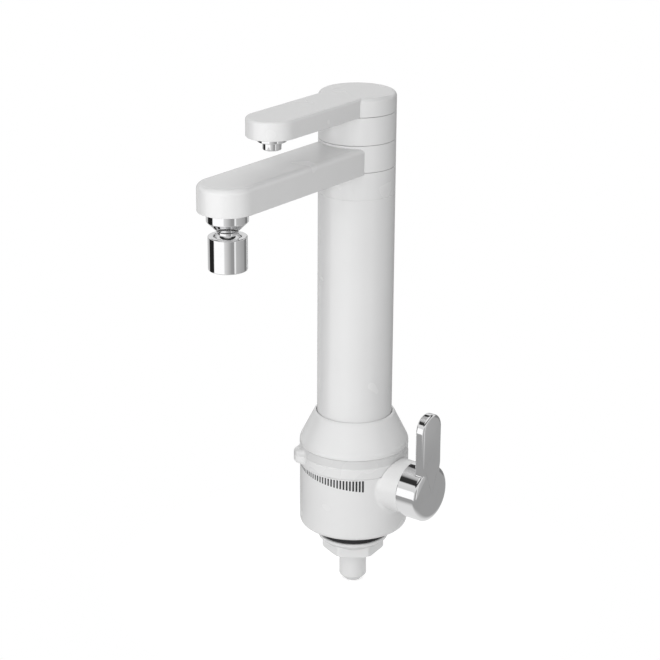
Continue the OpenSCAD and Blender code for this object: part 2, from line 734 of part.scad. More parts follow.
// Chrome nozzle of the upper spout
module outlet_nozzle() color("silver") translate([0, -upper_reach, upper_z + seam / 2]) turned([
    [nozzle_way_r, -nozzle_flange_h - nozzle_len], [nozzle_r - 0.8, -nozzle_flange_h - nozzle_len],
    [nozzle_r, -nozzle_flange_h - nozzle_len + 0.8], [nozzle_r, -nozzle_flange_h],
    [nozzle_flange_r - 0.5, -nozzle_flange_h], [nozzle_flange_r, -nozzle_flange_h + 0.5],
        [nozzle_flange_r, 0],
    [nozzle_thread_r, 0], [nozzle_thread_r, nozzle_thread_h], [nozzle_way_r, nozzle_thread_h]
]);

// Crossed vanes that straighten the purified stream
module nozzle_vanes() color("white") translate([0, -upper_reach, upper_z + seam / 2]) {
    h = nozzle_len * 0.6;
    z = -nozzle_flange_h - nozzle_len + 0.6;
    difference() {
        translate([0, 0, z]) cylinder(r = nozzle_way_r - 0.05, h = h);
        for (a = [0 : 60 : 300]) rotate(a) translate([0, 0, z - over]) linear_extrude(height = h + 2 * over)
            intersection() {
                circle(r = nozzle_way_r - 0.65, $fn = 48);
                translate([0.35 / sin(30), 0]) polygon([[0, 0], [9 * cos(30), -9 * sin(30)],
                    [9 * cos(30), 9 * sin(30)]]);
            }
    }
}

module adapter_washer() color("#1c1c1c") translate([0, -main_reach, 0])
    ring(adapter_thread_r, adapter_way_r, main_z + seam / 2 + adapter_thread_h - adapter_washer_t,
        adapter_washer_t);

// Adapter of the aerator: thread, flared cup and the hollow ball under it
module aerator_adapter() color("silver") translate([0, -main_reach, ball_z]) {
    thread_top = adapter_h + adapter_thread_h - adapter_washer_t - 0.05;
    cone_top = adapter_h - cup_rim_h;
    difference() {
        union() {
            sphere(r = ball_r);
            turned([
                [0, 0], [ball_neck_r, 0], [ball_neck_r, cone_top - cup_cone_h - 0.8],
                [ball_neck_r + 1.7, cone_top - cup_cone_h], [cup_r, cone_top], [cup_r, adapter_h - 0.6],
                [cup_r - 0.6, adapter_h], [adapter_thread_r, adapter_h], [adapter_thread_r,
                    thread_top], [0, thread_top]
            ]);
        }
        translate([0, 0, -ball_r - over]) cylinder(r = adapter_way_r, h = ball_r + thread_top + 2 * over);
        translate([0, 0, -ball_r - over]) cylinder(r = ball_r, h = over + 1.4);
    }
}

// Lower half of the ball socket, which slides on the ball
module ball_seat() color("white") translate([0, -main_reach, ball_z]) difference() {
    sphere(r = seat_r);
    sphere(r = ball_r + ball_gap);
    translate([0, 0, -seat_r - over]) cylinder(r = seat_r + over, h = over + seat_r * 0.36);
    // cone that leaves room for the clamp to tilt
    turned([[0, 0], [2 * seat_r, -2 * seat_r * tan(15)], [2 * seat_r, 2 * seat_r], [0, 2 * seat_r]]);
}

// Upper half of the ball socket, held in the barrel
module ball_clamp() color("white") translate([0, -main_reach, ball_z]) {
    top = barrel_top - barrel_lip - 0.05;
    difference() {
        translate([0, 0, 0.4]) cylinder(r = barrel_bore_r - run_fit, h = top - 0.4);
        sphere(r = ball_r + ball_gap);
    }
}

// Chrome barrel that spins on the clamp
module aerator_barrel() color("silver") translate([0, -main_reach, barrel_z]) turned([
    [barrel_bore_r, 0], [barrel_r - 1.2, 0], [barrel_r - 0.35, 0.35], [barrel_r, 1.2], [barrel_r,
        barrel_h - 0.6],
    [barrel_r - 0.6, barrel_h], [ball_r - 0.35, barrel_h], [ball_r - 0.35, barrel_h - barrel_lip],
    [barrel_bore_r, barrel_h - barrel_lip]
]);

// Perforated insert that mixes air into the stream
module aerator_cartridge() color("lightgray") translate([0, -main_reach, barrel_z]) {
    h = ball_z - barrel_z - seat_r - 0.4;
    difference() {
        translate([0, 0, 0.3]) cylinder(r = barrel_bore_r - 0.05, h = h - 0.3);
        translate([0, 0, h - 2]) cylinder(r = barrel_bore_r - 1.2, h = 3);
        translate([0, 0, -over]) cylinder(r = barrel_bore_r - 2.4, h = over + h * 0.5);
        for (n = [[1, 0], [6, 3], [12, 6.3]], i = [0 : n[0] - 1])
            rotate(360 * i / n[0]) translate([n[1], 0, -over])
                cylinder(r = 0.8, h = h + 2 * over, $fn = 24);
    }
}

// Disc-shaped valve piece along X with the three ports through it
module ported_disc(r, x, t) translate([0, 0, valve_z]) difference() {
    x_cylinder(r, x, t);
    for (y = [0, -port_pcr, port_pcr]) translate([0, y, 0])
        x_cylinder(port_r, x - over, t + 2 * over, $fn = 48);
}

module valve_seat_gasket() color("#1c1c1c") ported_disc(disc_r, valve_wall_x, gasket_t);
module fixed_disc() color("ghostwhite") ported_disc(disc_r, fixed_x, disc_t);

// Moving disc: a blind pocket joins the middle port to the side port that it is turned to
module moving_disc() color("lightsteelblue") translate([0, 0, valve_z]) difference() {
    x_cylinder(disc_r - 0.4, moving_x, disc_t);
    translate([moving_x - over, 0, 0]) rotate([0, 90, 0]) {
        translate([port_pcr, 0, 0]) cylinder(r = port_r, h = over + disc_t * 0.6);
        cylinder(r = port_r, h = over + disc_t * 0.6);
        translate([0, -port_r, 0]) cube([port_pcr, 2 * port_r, over + disc_t * 0.6]);
    }
    for (s = [-1, 1]) translate([moving_x + disc_t - 1, s * (disc_r - 2.6) - 1, -1]) cube([1 + over, 2, 2]);
}

// Spindle with the driver that turns the moving disc and a flat for the lever's screw
module valve_spindle() color("goldenrod") translate([0, 0, valve_z]) difference() {
    union() {
        x_cylinder(disc_r - 0.9, driver_x, driver_t);
        x_cylinder(spindle_r, driver_x, spindle_end_x - driver_x);
        for (s = [-1, 1]) translate([driver_x - 0.85, s * (disc_r - 2.6) - 0.85, -0.85])
            cube([0.9, 1.7, 1.7]);
    }
    translate([lever_screw_x - 3, -spindle_r, -spindle_r - over]) cube([6, 2 * spindle_r, over + 0.8]);
}

// Brass sleeve of the valve, with the flange that seats in the boss
module valve_sleeve() color("goldenrod") translate([0, 0, valve_z]) difference() {
    union() {
        x_cylinder(valve_r - slip_fit, sleeve_x, flange_x - sleeve_x + over);
        x_cylinder(counterbore_r - 0.3, flange_x, sleeve_flange_t);
    }
    x_cylinder(disc_r - 0.9 + run_fit + 0.1, sleeve_x - over, driver_t + over);
    x_cylinder(spindle_r + run_fit, sleeve_x, gland_x);
    difference() {
        x_cylinder(valve_r + over, valve_o_ring_x() - 1.1, 2.2);
        x_cylinder(valve_r - 2.3, valve_o_ring_x() - over - 1.1, 2.2 + 2 * over);
    }
}

function valve_o_ring_x() = sleeve_x + 8;

module valve_o_ring() color("#1c1c1c") translate([valve_o_ring_x(), 0, valve_z]) rotate([0, 90, 0])
    o_ring(valve_r - 0.06, 0, 2);

// Gland nut that holds the sleeve in the boss, with four slots for a pin spanner
module gland_nut() color("goldenrod") translate([0, 0, valve_z]) difference() {
    x_cylinder(counterbore_r - slip_fit, gland_x, gland_t);
    x_cylinder(spindle_r + 2, gland_x - over, gland_t + 2 * over);
    for (a = [0 : 90 : 270]) rotate([a, 0, 0]) translate([gland_x + gland_t - 2, counterbore_r - 3, -1.5])
        cube([2 + over, 4, 3]);
}

// Lever: round hub with a crowned face and an upright paddle with a round end
module lever_handle() color("silver") translate([0, 0, valve_z]) {
    full_d = lever_d + lever_crown;
    edge_w = lever_r / 4;
    edge_r = (edge_w * edge_w + lever_crown * lever_crown) / (2 * lever_crown);
    paddle_x = lever_x + full_d - 0.1;
    paddle_bow = 0.6;
    bow_r = (paddle_w * paddle_w + paddle_bow * paddle_bow) / (2 * paddle_bow);
    difference() {
        union() {
            translate([lever_x, 0, 0]) rotate([0, 90, 0]) rotate_extrude() intersection() {
                union() {
                    square([lever_r - edge_w, full_d]);
                    translate([lever_r - edge_w, full_d - edge_r]) circle(r = edge_r, $fn = 180);
                }
                square([lever_r, full_d]);
            }
            intersection() {
                translate([paddle_x - paddle_t, 0, 0]) rotate([0, 90, 0]) rotate(180)
                    linear_extrude(height = paddle_t)
                    union() {
                        translate([0, -paddle_w]) square([paddle_h - paddle_w, 2 * paddle_w]);
                        translate([paddle_h - paddle_w, 0]) circle(r = paddle_w);
                    }
                translate([paddle_x - bow_r, 0, 0]) cylinder(r = bow_r, h = paddle_h + over, $fn = 200);
            }
        }
        x_cylinder(lever_r - 3.4, lever_x - over, over + lever_d * 0.3);
        x_cylinder(spindle_r + slip_fit, lever_x, spindle_end_x - lever_x + 0.1);
        translate([lever_screw_x, 0, -lever_r - over]) cylinder(r = 2 + slip_fit, h = lever_r + over);
    }
    // core of the hub round the spindle, inside the hollow back
    difference() {
        x_cylinder(spindle_r + 3.5, lever_x + 0.6, lever_d * 0.3);
        x_cylinder(spindle_r + slip_fit, lever_x, lever_d);
        translate([lever_screw_x, 0, -lever_r - over]) cylinder(r = 2 + slip_fit, h = lever_r + over);
    }
}

// Grub screw that clamps the lever on the flat of the spindle
module lever_screw() color("dimgray")
    translate([lever_screw_x, 0, valve_z - spindle_r + 0.75 - 9]) rotate([180, 0, 0]) set_screw(2, 9);

inlet_stub();
deck_nut();
deck_seal();
lower_body();
flow_ring();
drive_pin();
flow_plate();
manifold();
manifold_o_ring();
column_o_ring();
collar();
column_tube();
cartridge_foot();
cartridge_shell();
cartridge_head();
carbon_block();
pleated_wrap();
core_tube();
cartridge_o_rings();
swivel_post();
post_o_ring();
lower_spacer();
main_o_rings();
upper_spacer();
upper_o_ring();
main_spout();
upper_spout();
spout_screw();
outlet_nozzle();
nozzle_vanes();
adapter_washer();
aerator_adapter();
ball_seat();
ball_clamp();
aerator_barrel();
aerator_cartridge();
valve_seat_gasket();
fixed_disc();
moving_disc();
valve_spindle();
valve_sleeve();
valve_o_ring();
gland_nut();
lever_handle();
lever_screw();
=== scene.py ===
"""Looks of a countertop water purifier tap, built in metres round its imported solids.

Sizes are written in millimetres and scaled once, where a mesh is made.
"""

import json
import logging
from dataclasses import dataclass
from enum import Enum
from math import acos, asin, atan2, ceil, cos, degrees, hypot, pi, radians, sin, sqrt, tan
from typing import Any, Sequence

import bmesh
import bpy
import numpy as np
from mathutils import Matrix, Vector


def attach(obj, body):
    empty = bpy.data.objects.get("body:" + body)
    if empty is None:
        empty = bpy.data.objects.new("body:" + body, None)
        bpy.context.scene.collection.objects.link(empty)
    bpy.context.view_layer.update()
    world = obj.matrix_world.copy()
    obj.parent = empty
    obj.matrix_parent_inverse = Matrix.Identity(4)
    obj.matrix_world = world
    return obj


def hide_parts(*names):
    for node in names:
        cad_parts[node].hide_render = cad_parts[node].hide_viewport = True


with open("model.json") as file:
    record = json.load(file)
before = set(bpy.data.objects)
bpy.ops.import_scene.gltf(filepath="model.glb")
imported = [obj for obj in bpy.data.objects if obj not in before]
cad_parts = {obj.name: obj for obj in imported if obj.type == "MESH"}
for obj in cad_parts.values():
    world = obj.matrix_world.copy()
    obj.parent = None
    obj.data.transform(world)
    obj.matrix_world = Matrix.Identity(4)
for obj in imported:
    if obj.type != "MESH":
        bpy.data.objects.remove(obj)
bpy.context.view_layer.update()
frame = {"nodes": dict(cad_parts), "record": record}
log = logging.getLogger("tap")
MM = 0.001
MERGE = 0.002 * MM
Piece = bpy.types.Object
Point = tuple[float, float]
Corner = tuple[float, float, float]
Colour = tuple[float, float, float]
Ring = Sequence[Sequence[float]]


# ---- shading


class Sock:
    """A node's output, with the operators that add Math nodes to its tree."""

    def __init__(self, tree: "Tree", out: bpy.types.NodeSocket | None) -> None:
        """Wraps one output socket of a tree, or none for a node that ends it."""
        self.tree = tree
        self.out = out

    def _math(self, operation: str, *values: Any) -> "Sock":
        """Adds one Math node; its inputs are numbers or sockets."""
        return self.tree.node("ShaderNodeMath", {"operation": operation}, dict(enumerate(values)))

    def __add__(self, other: Any) -> "Sock":
        """self + other."""
        return self._math("ADD", self, other)

    __radd__ = __add__

    def __sub__(self, other: Any) -> "Sock":
        """self - other."""
        return self._math("SUBTRACT", self, other)

    def __rsub__(self, other: Any) -> "Sock":
        """other - self."""
        return self._math("SUBTRACT", other, self)

    def __mul__(self, other: Any) -> "Sock":
        """self * other."""
        return self._math("MULTIPLY", self, other)

    __rmul__ = __mul__

    def __truediv__(self, other: Any) -> "Sock":
        """self / other."""
        return self._math("DIVIDE", self, other)

    def atan2(self, other: Any) -> "Sock":
        """Angle of the point (other, self), in radians."""
        return self._math("ARCTAN2", self, other)

    def wrap(self, low: float, high: float) -> "Sock":
        """self brought into the range low to high by whole turns."""
        return self._math("WRAP", self, high, low)

    def soft(self, low: float, high: float) -> "Sock":
        """Smooth step from 0 at low to 1 at high."""
        return self.tree.node("ShaderNodeMapRange", {"interpolation_type": "SMOOTHSTEP"},
                              {"Value": self, "From Min": low, "From Max": high})


class Tree:
    """Builds the node tree of a material or of the world."""

    def __init__(self, owner: bpy.types.Material | bpy.types.World) -> None:
        """Clears the owner's tree and starts a new one."""
        owner.use_nodes = True
        self.nodes = owner.node_tree.nodes
        self.links = owner.node_tree.links
        self.nodes.clear()

    def node(self, kind: str, settings: dict[str, Any] | None = None, inputs: dict[Any, Any] | None = None,
             output: int | str = 0) -> Sock:
        """Adds any node.

        Args:
            kind: the node's type name.
            settings: attributes that are set first; "stops" fills a colour ramp.
            inputs: values or sockets by input name or number.
            output: which output to return.

        Returns:
            The wrapped output.
        """
        made = self.nodes.new(kind)
        for key, value in (settings or {}).items():
            if key == "stops":
                ramp = made.color_ramp
                while len(ramp.elements) > 1:
                    ramp.elements.remove(ramp.elements[-1])
                for i, (at, colour) in enumerate(value):
                    stop = ramp.elements[0] if i == 0 else ramp.elements.new(at)
                    stop.position, stop.color = at, (*colour, 1)
            else:
                setattr(made, key, value)
        for key, value in (inputs or {}).items():
            if isinstance(value, Sock):
                self.links.new(value.out, made.inputs[key])
            else:
                made.inputs[key].default_value = value
        return Sock(self, made.outputs[output] if len(made.outputs) else None)

    def place(self) -> Sock:
        """Position in the row's frame, in metres."""
        return self.node("ShaderNodeTexCoord", {}, {}, "Object")

    def axis(self, place: Sock, which: str) -> Sock:
        """One coordinate of a position, X, Y or Z."""
        return self.node("ShaderNodeSeparateXYZ", {}, {"Vector": place}, which)

    def noise(self, place: Sock, scale: float, detail: float, rough: float = 0.5) -> Sock:
        """Noise from 0 to 1, by waves in a metre, octaves and the weight of the finer octaves."""
        return self.node("ShaderNodeTexNoise", {},
                         {"Vector": place, "Scale": scale, "Detail": detail, "Roughness": rough})

    def length(self, place: Sock) -> Sock:
        """Distance of a position from the origin."""
        return self.node("ShaderNodeVectorMath", {"operation": "LENGTH"}, {0: place}, "Value")

    def mix(self, mask: Any, a: Any, b: Any) -> Sock:
        """Mixes two colours.

        Args:
            mask: 0 for the first colour, 1 for the second.
            a: the first colour or socket.
            b: the second.

        Returns:
            The wrapped colour.
        """
        made = self.nodes.new("ShaderNodeMix")
        made.data_type = "RGBA"
        colours = [s for s in made.inputs if s.type == "RGBA"]
        for socket, value in zip((made.inputs[0], *colours), (mask, a, b)):
            if isinstance(value, Sock):
                self.links.new(value.out, socket)
            else:
                socket.default_value = (*value, 1) if isinstance(value, tuple) else value
        return Sock(self, next(s for s in made.outputs if s.type == "RGBA"))

    def bump(self, height: Sock, depth: float) -> Sock:
        """Normal of a surface raised by height times depth, in millimetres."""
        return self.node("ShaderNodeBump", {}, {"Height": height, "Distance": depth * MM, "Strength": 1.0})

    def ray(self, kind: str) -> Sock:
        """1 where the ray is of a kind, such as Is Camera Ray, 0 elsewhere."""
        return self.node("ShaderNodeLightPath", {}, {}, kind)

    def emission(self, colour: Any, strength: float = 1.0) -> Sock:
        """Glowing surface of a colour or a socket's colour."""
        return self.node("ShaderNodeEmission", {}, {"Color": colour, "Strength": strength})

    def diffuse(self, tone: float) -> Sock:
        """Matt grey surface."""
        return self.node("ShaderNodeBsdfDiffuse", {}, {"Color": (tone, tone, tone, 1)})

    def surface(self, **inputs: Any) -> None:
        """Ends a material with a Principled shader; names use _ for spaces."""
        shader = self.node("ShaderNodeBsdfPrincipled", {}, {k.replace("_", " "): v for k, v in inputs.items()})
        self.node("ShaderNodeOutputMaterial", {"target": "ALL"}, {"Surface": shader})


@dataclass(frozen=True)
class Coating:
    """What each finish has: its name, the record's material slot and its colour."""

    name: str
    slot: str
    colour: Colour

    def material(self) -> bpy.types.Material:
        """The finish's material, made once."""
        made = bpy.data.materials.get(self.name)
        if made is None:
            made = bpy.data.materials.new(self.name)
            tree = Tree(made)
            tree.surface(**self.inputs(tree, tree.place()))
        return made

    def inputs(self, tree: Tree, place: Sock) -> dict[str, Any]:
        """Inputs of the finish's shader."""
        raise NotImplementedError


@dataclass(frozen=True)
class Moulding(Coating):
    """Moulded plastic or rubber: faint cloudiness, a fine skin and uneven gloss."""

    rough: float = 0.3
    cloud: float = 0.02
    skin_scale: float = 900.0
    skin_depth: float = 0.004
    coat: float = 0.0
    coat_rough: float = 0.12
    cloud_scale: float = 28.0
    gloss_scale: float = 45.0
    gloss_spread: float = 0.12

    def inputs(self, tree: Tree, place: Sock) -> dict[str, Any]:
        """Inputs of the plastic's shader."""
        return {"Base_Color": self.paint(tree, place), "Roughness": self.gloss(tree, place),
                "Normal": self.skin(tree, place), "Coat_Weight": self.coat, "Coat_Roughness": self.coat_rough}

    def paint(self, tree: Tree, place: Sock) -> Sock:
        """Base colour with a slow, faint change of tone."""
        dark = tuple(c * (1 - self.cloud) for c in self.colour)
        return tree.mix(tree.noise(place, self.cloud_scale, 2).soft(0.3, 0.7), dark, self.colour)

    def gloss(self, tree: Tree, place: Sock) -> Sock:
        """Roughness that drifts a little over the surface."""
        drift = tree.noise(place, self.gloss_scale, 1).soft(0.2, 0.8)
        return drift * (self.rough * self.gloss_spread) + self.rough * (1 - self.gloss_spread / 2)

    def skin(self, tree: Tree, place: Sock) -> Sock:
        """Normal with the fine waviness of the mould."""
        fine = tree.noise(place, self.skin_scale, 2)
        slow = tree.noise(place, self.skin_scale * 0.12, 1)
        return tree.bump(fine + slow * 2, self.skin_depth)


@dataclass(frozen=True)
class PaintedShadeMoulding(Moulding):
    """Moulded plastic with painted shade: its upper band is painted a darker grey for the shade of the ring's cove."""

    # Colour of the painted shade on the upper band, the height where it starts, and how softly it starts.
    band: Colour = (0.70, 0.70, 0.70)
    band_from: float = 68.4
    band_soft: float = 0.15

    def paint(self, tree: Tree, place: Sock) -> Sock:
        """White below the band's edge and painted darker grey above it, painted shade of the cove."""
        white = super().paint(tree, place)
        low, high = self.band_from - self.band_soft, self.band_from + self.band_soft
        mask = tree.axis(place, "Z").soft(low * MM, high * MM)
        return tree.mix(mask, white, self.band)


@dataclass(frozen=True)
class Metal(Coating):
    """Plated or turned metal with faint smudges and, if turned, tool marks."""

    rough: float = 0.07
    smudge: float = 0.05
    marks: float = 0.0
    wave: float = 0.002
    smudge_scale: float = 70.0
    smudge_tone: float = 0.94
    wave_scale: float = 90.0
    mark_scale: float = 2600.0

    def inputs(self, tree: Tree, place: Sock) -> dict[str, Any]:
        """Inputs of the metal's shader."""
        patches = tree.noise(place, self.smudge_scale, 5, 0.6).soft(0.45, 0.75)
        height = tree.noise(place, self.wave_scale, 2)
        depth = self.wave
        if self.marks:
            height = height + tree.noise(place, self.mark_scale, 2)
            depth = self.marks
        tone = tree.mix(patches * 0.5, self.colour, tuple(c * self.smudge_tone for c in self.colour))
        return {"Base_Color": tone, "Metallic": 1.0, "Roughness": patches * self.smudge + self.rough,
                "Normal": tree.bump(height, depth)}


@dataclass(frozen=True)
class Granular(Coating):
    """Pressed grains or fibres, such as carbon or filter cloth."""

    grain: float = 1400.0
    depth: float = 0.08
    rough: float = 0.9

    def inputs(self, tree: Tree, place: Sock) -> dict[str, Any]:
        """Inputs of the grain's shader."""
        cells = tree.node("ShaderNodeTexVoronoi", {}, {"Vector": place, "Scale": self.grain})
        pale = tuple(min(1.0, c * 1.5 + 0.01) for c in self.colour)
        tone = tree.mix(cells.soft(0.1, 0.7), self.colour, pale)
        return {"Base_Color": tone, "Roughness": self.rough, "Normal": tree.bump(cells, self.depth)}


class Finish(Enum):
    """The tap's finishes, by what they are used for."""

    WHITE = Moulding("white_moulding", "white_body", (0.80, 0.80, 0.80), rough=0.26, cloud=0.015,
                     skin_scale=700, skin_depth=0.0016, coat=0.25)
    # The flow ring's moulding, with painted shade on its upper band.
    RING = PaintedShadeMoulding("ring_with_painted_shade", "grey_ring", (0.80, 0.80, 0.80), rough=0.28, cloud=0.015,
                          skin_scale=700, skin_depth=0.0016, coat=0.2)
    RUBBER = Moulding("black_seal", "black_rubber", (0.012, 0.012, 0.013), rough=0.6, cloud=0.3,
                      skin_scale=1800, skin_depth=0.02)
    INK = Moulding("scale_ink", "black_rubber", (0.03, 0.03, 0.034), rough=0.45, cloud=0.2,
                   skin_scale=2500, skin_depth=0.002)
    CHROME = Metal("chrome_plate", "chrome", (0.82, 0.82, 0.825), rough=0.05, smudge=0.04)
    BRASS = Metal("turned_brass", "brass", (0.72, 0.50, 0.22), rough=0.22, smudge=0.1, marks=0.004)
    STEEL = Metal("turned_steel", "steel", (0.55, 0.55, 0.56), rough=0.28, smudge=0.1, marks=0.004)
    CERAMIC = Moulding("lapped_ceramic", "ceramic", (0.86, 0.85, 0.82), rough=0.12, cloud=0.03,
                       skin_scale=3000, skin_depth=0.001)
    NATURAL = Moulding("natural_moulding", "white_inner", (0.78, 0.78, 0.75), rough=0.45, cloud=0.04,
                       skin_scale=1200, skin_depth=0.006)
    GREY = Moulding("grey_moulding", "grey_inner", (0.42, 0.43, 0.44), rough=0.4, cloud=0.05,
                    skin_scale=1200, skin_depth=0.006)
    CARBON = Granular("carbon_grain", "carbon", (0.02, 0.02, 0.02), grain=900, depth=0.15)
    CLOTH = Granular("filter_cloth", "filter_cloth", (0.75, 0.73, 0.67), grain=2600, depth=0.05)


# ---- meshes


def rounded(corners: Sequence[Corner], closed: bool = True, step: float = 11.0) -> list[Point]:
    """Outline with a fillet at each corner.

    Args:
        corners: (a, b, fillet radius) in order.
        closed: whether the last corner joins the first.
        step: degrees of arc in one segment.

    Returns:
        The points of the finer outline.
    """
    points: list[Point] = []
    count = len(corners)
    for i, (a, b, radius) in enumerate(corners):
        if radius <= 0 or (not closed and i in (0, count - 1)):
            points.append((a, b))
            continue
        here = np.array([a, b])
        back = np.array(corners[i - 1][:2]) - here
        ahead = np.array(corners[(i + 1) % count][:2]) - here
        reach = min(np.linalg.norm(back), np.linalg.norm(ahead))
        back, ahead = back / np.linalg.norm(back), ahead / np.linalg.norm(ahead)
        half = acos(float(np.clip(back @ ahead, -1, 1))) / 2
        if half > radians(89.5):
            points.append((a, b))
            continue
        cut = min(radius / tan(half), reach * 0.49)
        radius = cut * tan(half)
        centre = here + (back + ahead) / np.linalg.norm(back + ahead) * radius / sin(half)
        start, end = here + back * cut - centre, here + ahead * cut - centre
        turn = pi - 2 * half
        parts = max(2, ceil(degrees(turn) / step))
        for k in range(parts + 1):
            t = k / parts
            weight = (sin((1 - t) * turn), sin(t * turn))
            p = centre + (start * weight[0] + end * weight[1]) / sin(turn)
            points.append((float(p[0]), float(p[1])))
    return points


def resample(points: Sequence[Point], count: int) -> np.ndarray:
    """Spaces the points of an open line evenly.

    Args:
        points: the line.
        count: how many points the new one has.

    Returns:
        The new line's points.
    """
    line = np.array(points)
    along = np.concatenate([[0], np.cumsum(np.linalg.norm(np.diff(line, axis=0), axis=1))])
    at = np.linspace(0, along[-1], count)
    return np.stack([np.interp(at, along, line[:, k]) for k in (0, 1)], axis=1)


def ease(value: Any, low: float, high: float) -> Any:
    """Smooth step from 0 at low to 1 at high, of a number or an array."""
    t = np.clip((value - low) / (high - low), 0, 1)
    return t * t * (3 - 2 * t)


def circle(r: float, z: float, angles: Sequence[float]) -> Ring:
    """Points at one radius and height round the Z axis."""
    return [(r * cos(a), r * sin(a), z) for a in angles]


def linked(name: str, data: Any) -> Piece:
    """New object in the scene that holds a mesh, a lamp or a camera."""
    made = bpy.data.objects.new(name, data)
    bpy.context.scene.collection.objects.link(made)
    return made


class Shell:
    """Vertices and faces in millimetres, on their way to a mesh."""

    def __init__(self) -> None:
        """Starts empty."""
        self.verts: list[Sequence[float]] = []
        self.faces: list[Sequence[int]] = []

    def row(self, points: Ring) -> list[int]:
        """Adds vertices and returns their numbers."""
        start = len(self.verts)
        self.verts.extend(points)
        return list(range(start, start + len(points)))

    def skin(self, first: list[int], second: list[int]) -> None:
        """Joins two rings with faces; a ring of one vertex makes a fan.

        Args:
            first: numbers of the first ring's vertices.
            second: the second ring's.
        """
        count = max(len(first), len(second))
        for i in range(count):
            j = (i + 1) % count
            face = [first[i % len(first)], first[j % len(first)], second[j % len(second)], second[i % len(second)]]
            self.faces.append(list(dict.fromkeys(face)))

    def rows(self, rows: Sequence[Ring], loop: bool = False, caps: Sequence[int] = ()) -> "Shell":
        """Skins a list of rings.

        Args:
            rows: the rings' points.
            loop: whether the last ring joins the first.
            caps: which rings are closed with a flat face, 0 for the first and -1 for the last.

        Returns:
            The shell itself.
        """
        numbers = [self.row(r) for r in rows]
        for a, b in zip(numbers, numbers[1:] + numbers[:1] if loop else numbers[1:]):
            self.skin(a, b)
        self.faces += [numbers[k][::-1] if k == 0 else numbers[k] for k in caps]
        return self

    def object(self, name: str, turn: Matrix | None = None) -> Piece:
        """Makes the object, in metres, with its normals facing out.

        Args:
            name: the piece's name.
            turn: how the shell is turned and moved first, in millimetres.

        Returns:
            The linked object.
        """
        mesh = bpy.data.meshes.new(name)
        turn = turn or Matrix.Identity(4)
        mesh.from_pydata([tuple((turn @ Vector(v)) * MM) for v in self.verts], [], [list(f) for f in self.faces])
        made = linked(name, mesh)
        tidy(made)
        return made


def tidy(made: Piece) -> None:
    """Merges doubled vertices of an object's mesh and turns its faces outwards.

    Args:
        made: the object whose mesh is changed.
    """
    work = bmesh.new()
    work.from_mesh(made.data)
    bmesh.ops.remove_doubles(work, verts=work.verts, dist=MERGE)
    bmesh.ops.dissolve_degenerate(work, dist=MERGE * 0.5, edges=work.edges)
    bmesh.ops.recalc_face_normals(work, faces=work.faces)
    work.to_mesh(made.data)
    work.free()


def lathe(name: str, outline: Sequence[Point], steps: int = 144, turn: Matrix | None = None,
          closed: bool = True) -> Piece:
    """Turns an outline of (radius, height) points round the Z axis.

    Args:
        name: the piece's name.
        outline: the points, in millimetres.
        steps: facets round the axis.
        turn: how the result is turned and moved.
        closed: whether the outline is a loop.

    Returns:
        The object.
    """
    angles = np.linspace(0, 2 * pi, steps, endpoint=False)
    rows = [[(0, 0, z)] if r < 1e-6 else circle(r, z, angles) for r, z in outline]
    return Shell().rows(rows, closed).object(name, turn)


def at(x: float, y: float, z: float) -> Matrix:
    """Moves a shell to a point."""
    return Matrix.Translation((x, y, z))


def rod(name: str, radius: float, low: float, high: float, steps: int, turn: Matrix | None = None) -> Piece:
    """Plain cylinder for a cut, from low to high along the Z axis, turned and moved by turn."""
    return lathe(name, [(0, low), (radius, low), (radius, high), (0, high)], steps, turn, False)


def joined(base: Piece, tool: Piece, operation: str = "UNION",
           touching: bool = False) -> Piece:
    """Unites two solids, or cuts one from the other, and drops the second.

    Args:
        base: the solid that stays.
        tool: the other solid.
        operation: UNION or DIFFERENCE.
        touching: whether their shells meet closely, which takes the slower way.

    Returns:
        The changed base.
    """
    step = base.modifiers.new("solid", "BOOLEAN")
    step.operation, step.solver, step.object, step.use_self = operation, "EXACT", tool, touching
    seen = base.evaluated_get(bpy.context.evaluated_depsgraph_get())
    mesh = bpy.data.meshes.new_from_object(seen)
    base.modifiers.clear()
    base.data = mesh
    bpy.data.objects.remove(tool)
    tidy(base)
    return base


def dress(made: Piece, finish: Finish, nodes: Sequence[str] = (), crease: float = 32.0,
          body: str = "root") -> None:
    """Gives a piece its finish, smooth normals and place on a body.

    Args:
        made: the piece.
        finish: its finish, which names its material slot too.
        nodes: the solids that it stands for.
        crease: angle in degrees above which an edge stays sharp.
        body: the body that it rides on.
    """
    mesh = made.data
    mesh.materials.clear()
    mesh.materials.append(finish.value.material())
    mesh.polygons.foreach_set("use_smooth", [True] * len(mesh.polygons))
    mesh.set_sharp_from_angle(angle=radians(crease))
    weigh = made.modifiers.new("even_normals", "WEIGHTED_NORMAL")
    weigh.keep_sharp = True
    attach(made, body)
    if nodes:
        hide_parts(*nodes)
    log.info("%s: %d faces on %s", made.name, len(mesh.polygons), body)


# ---- sub-assemblies


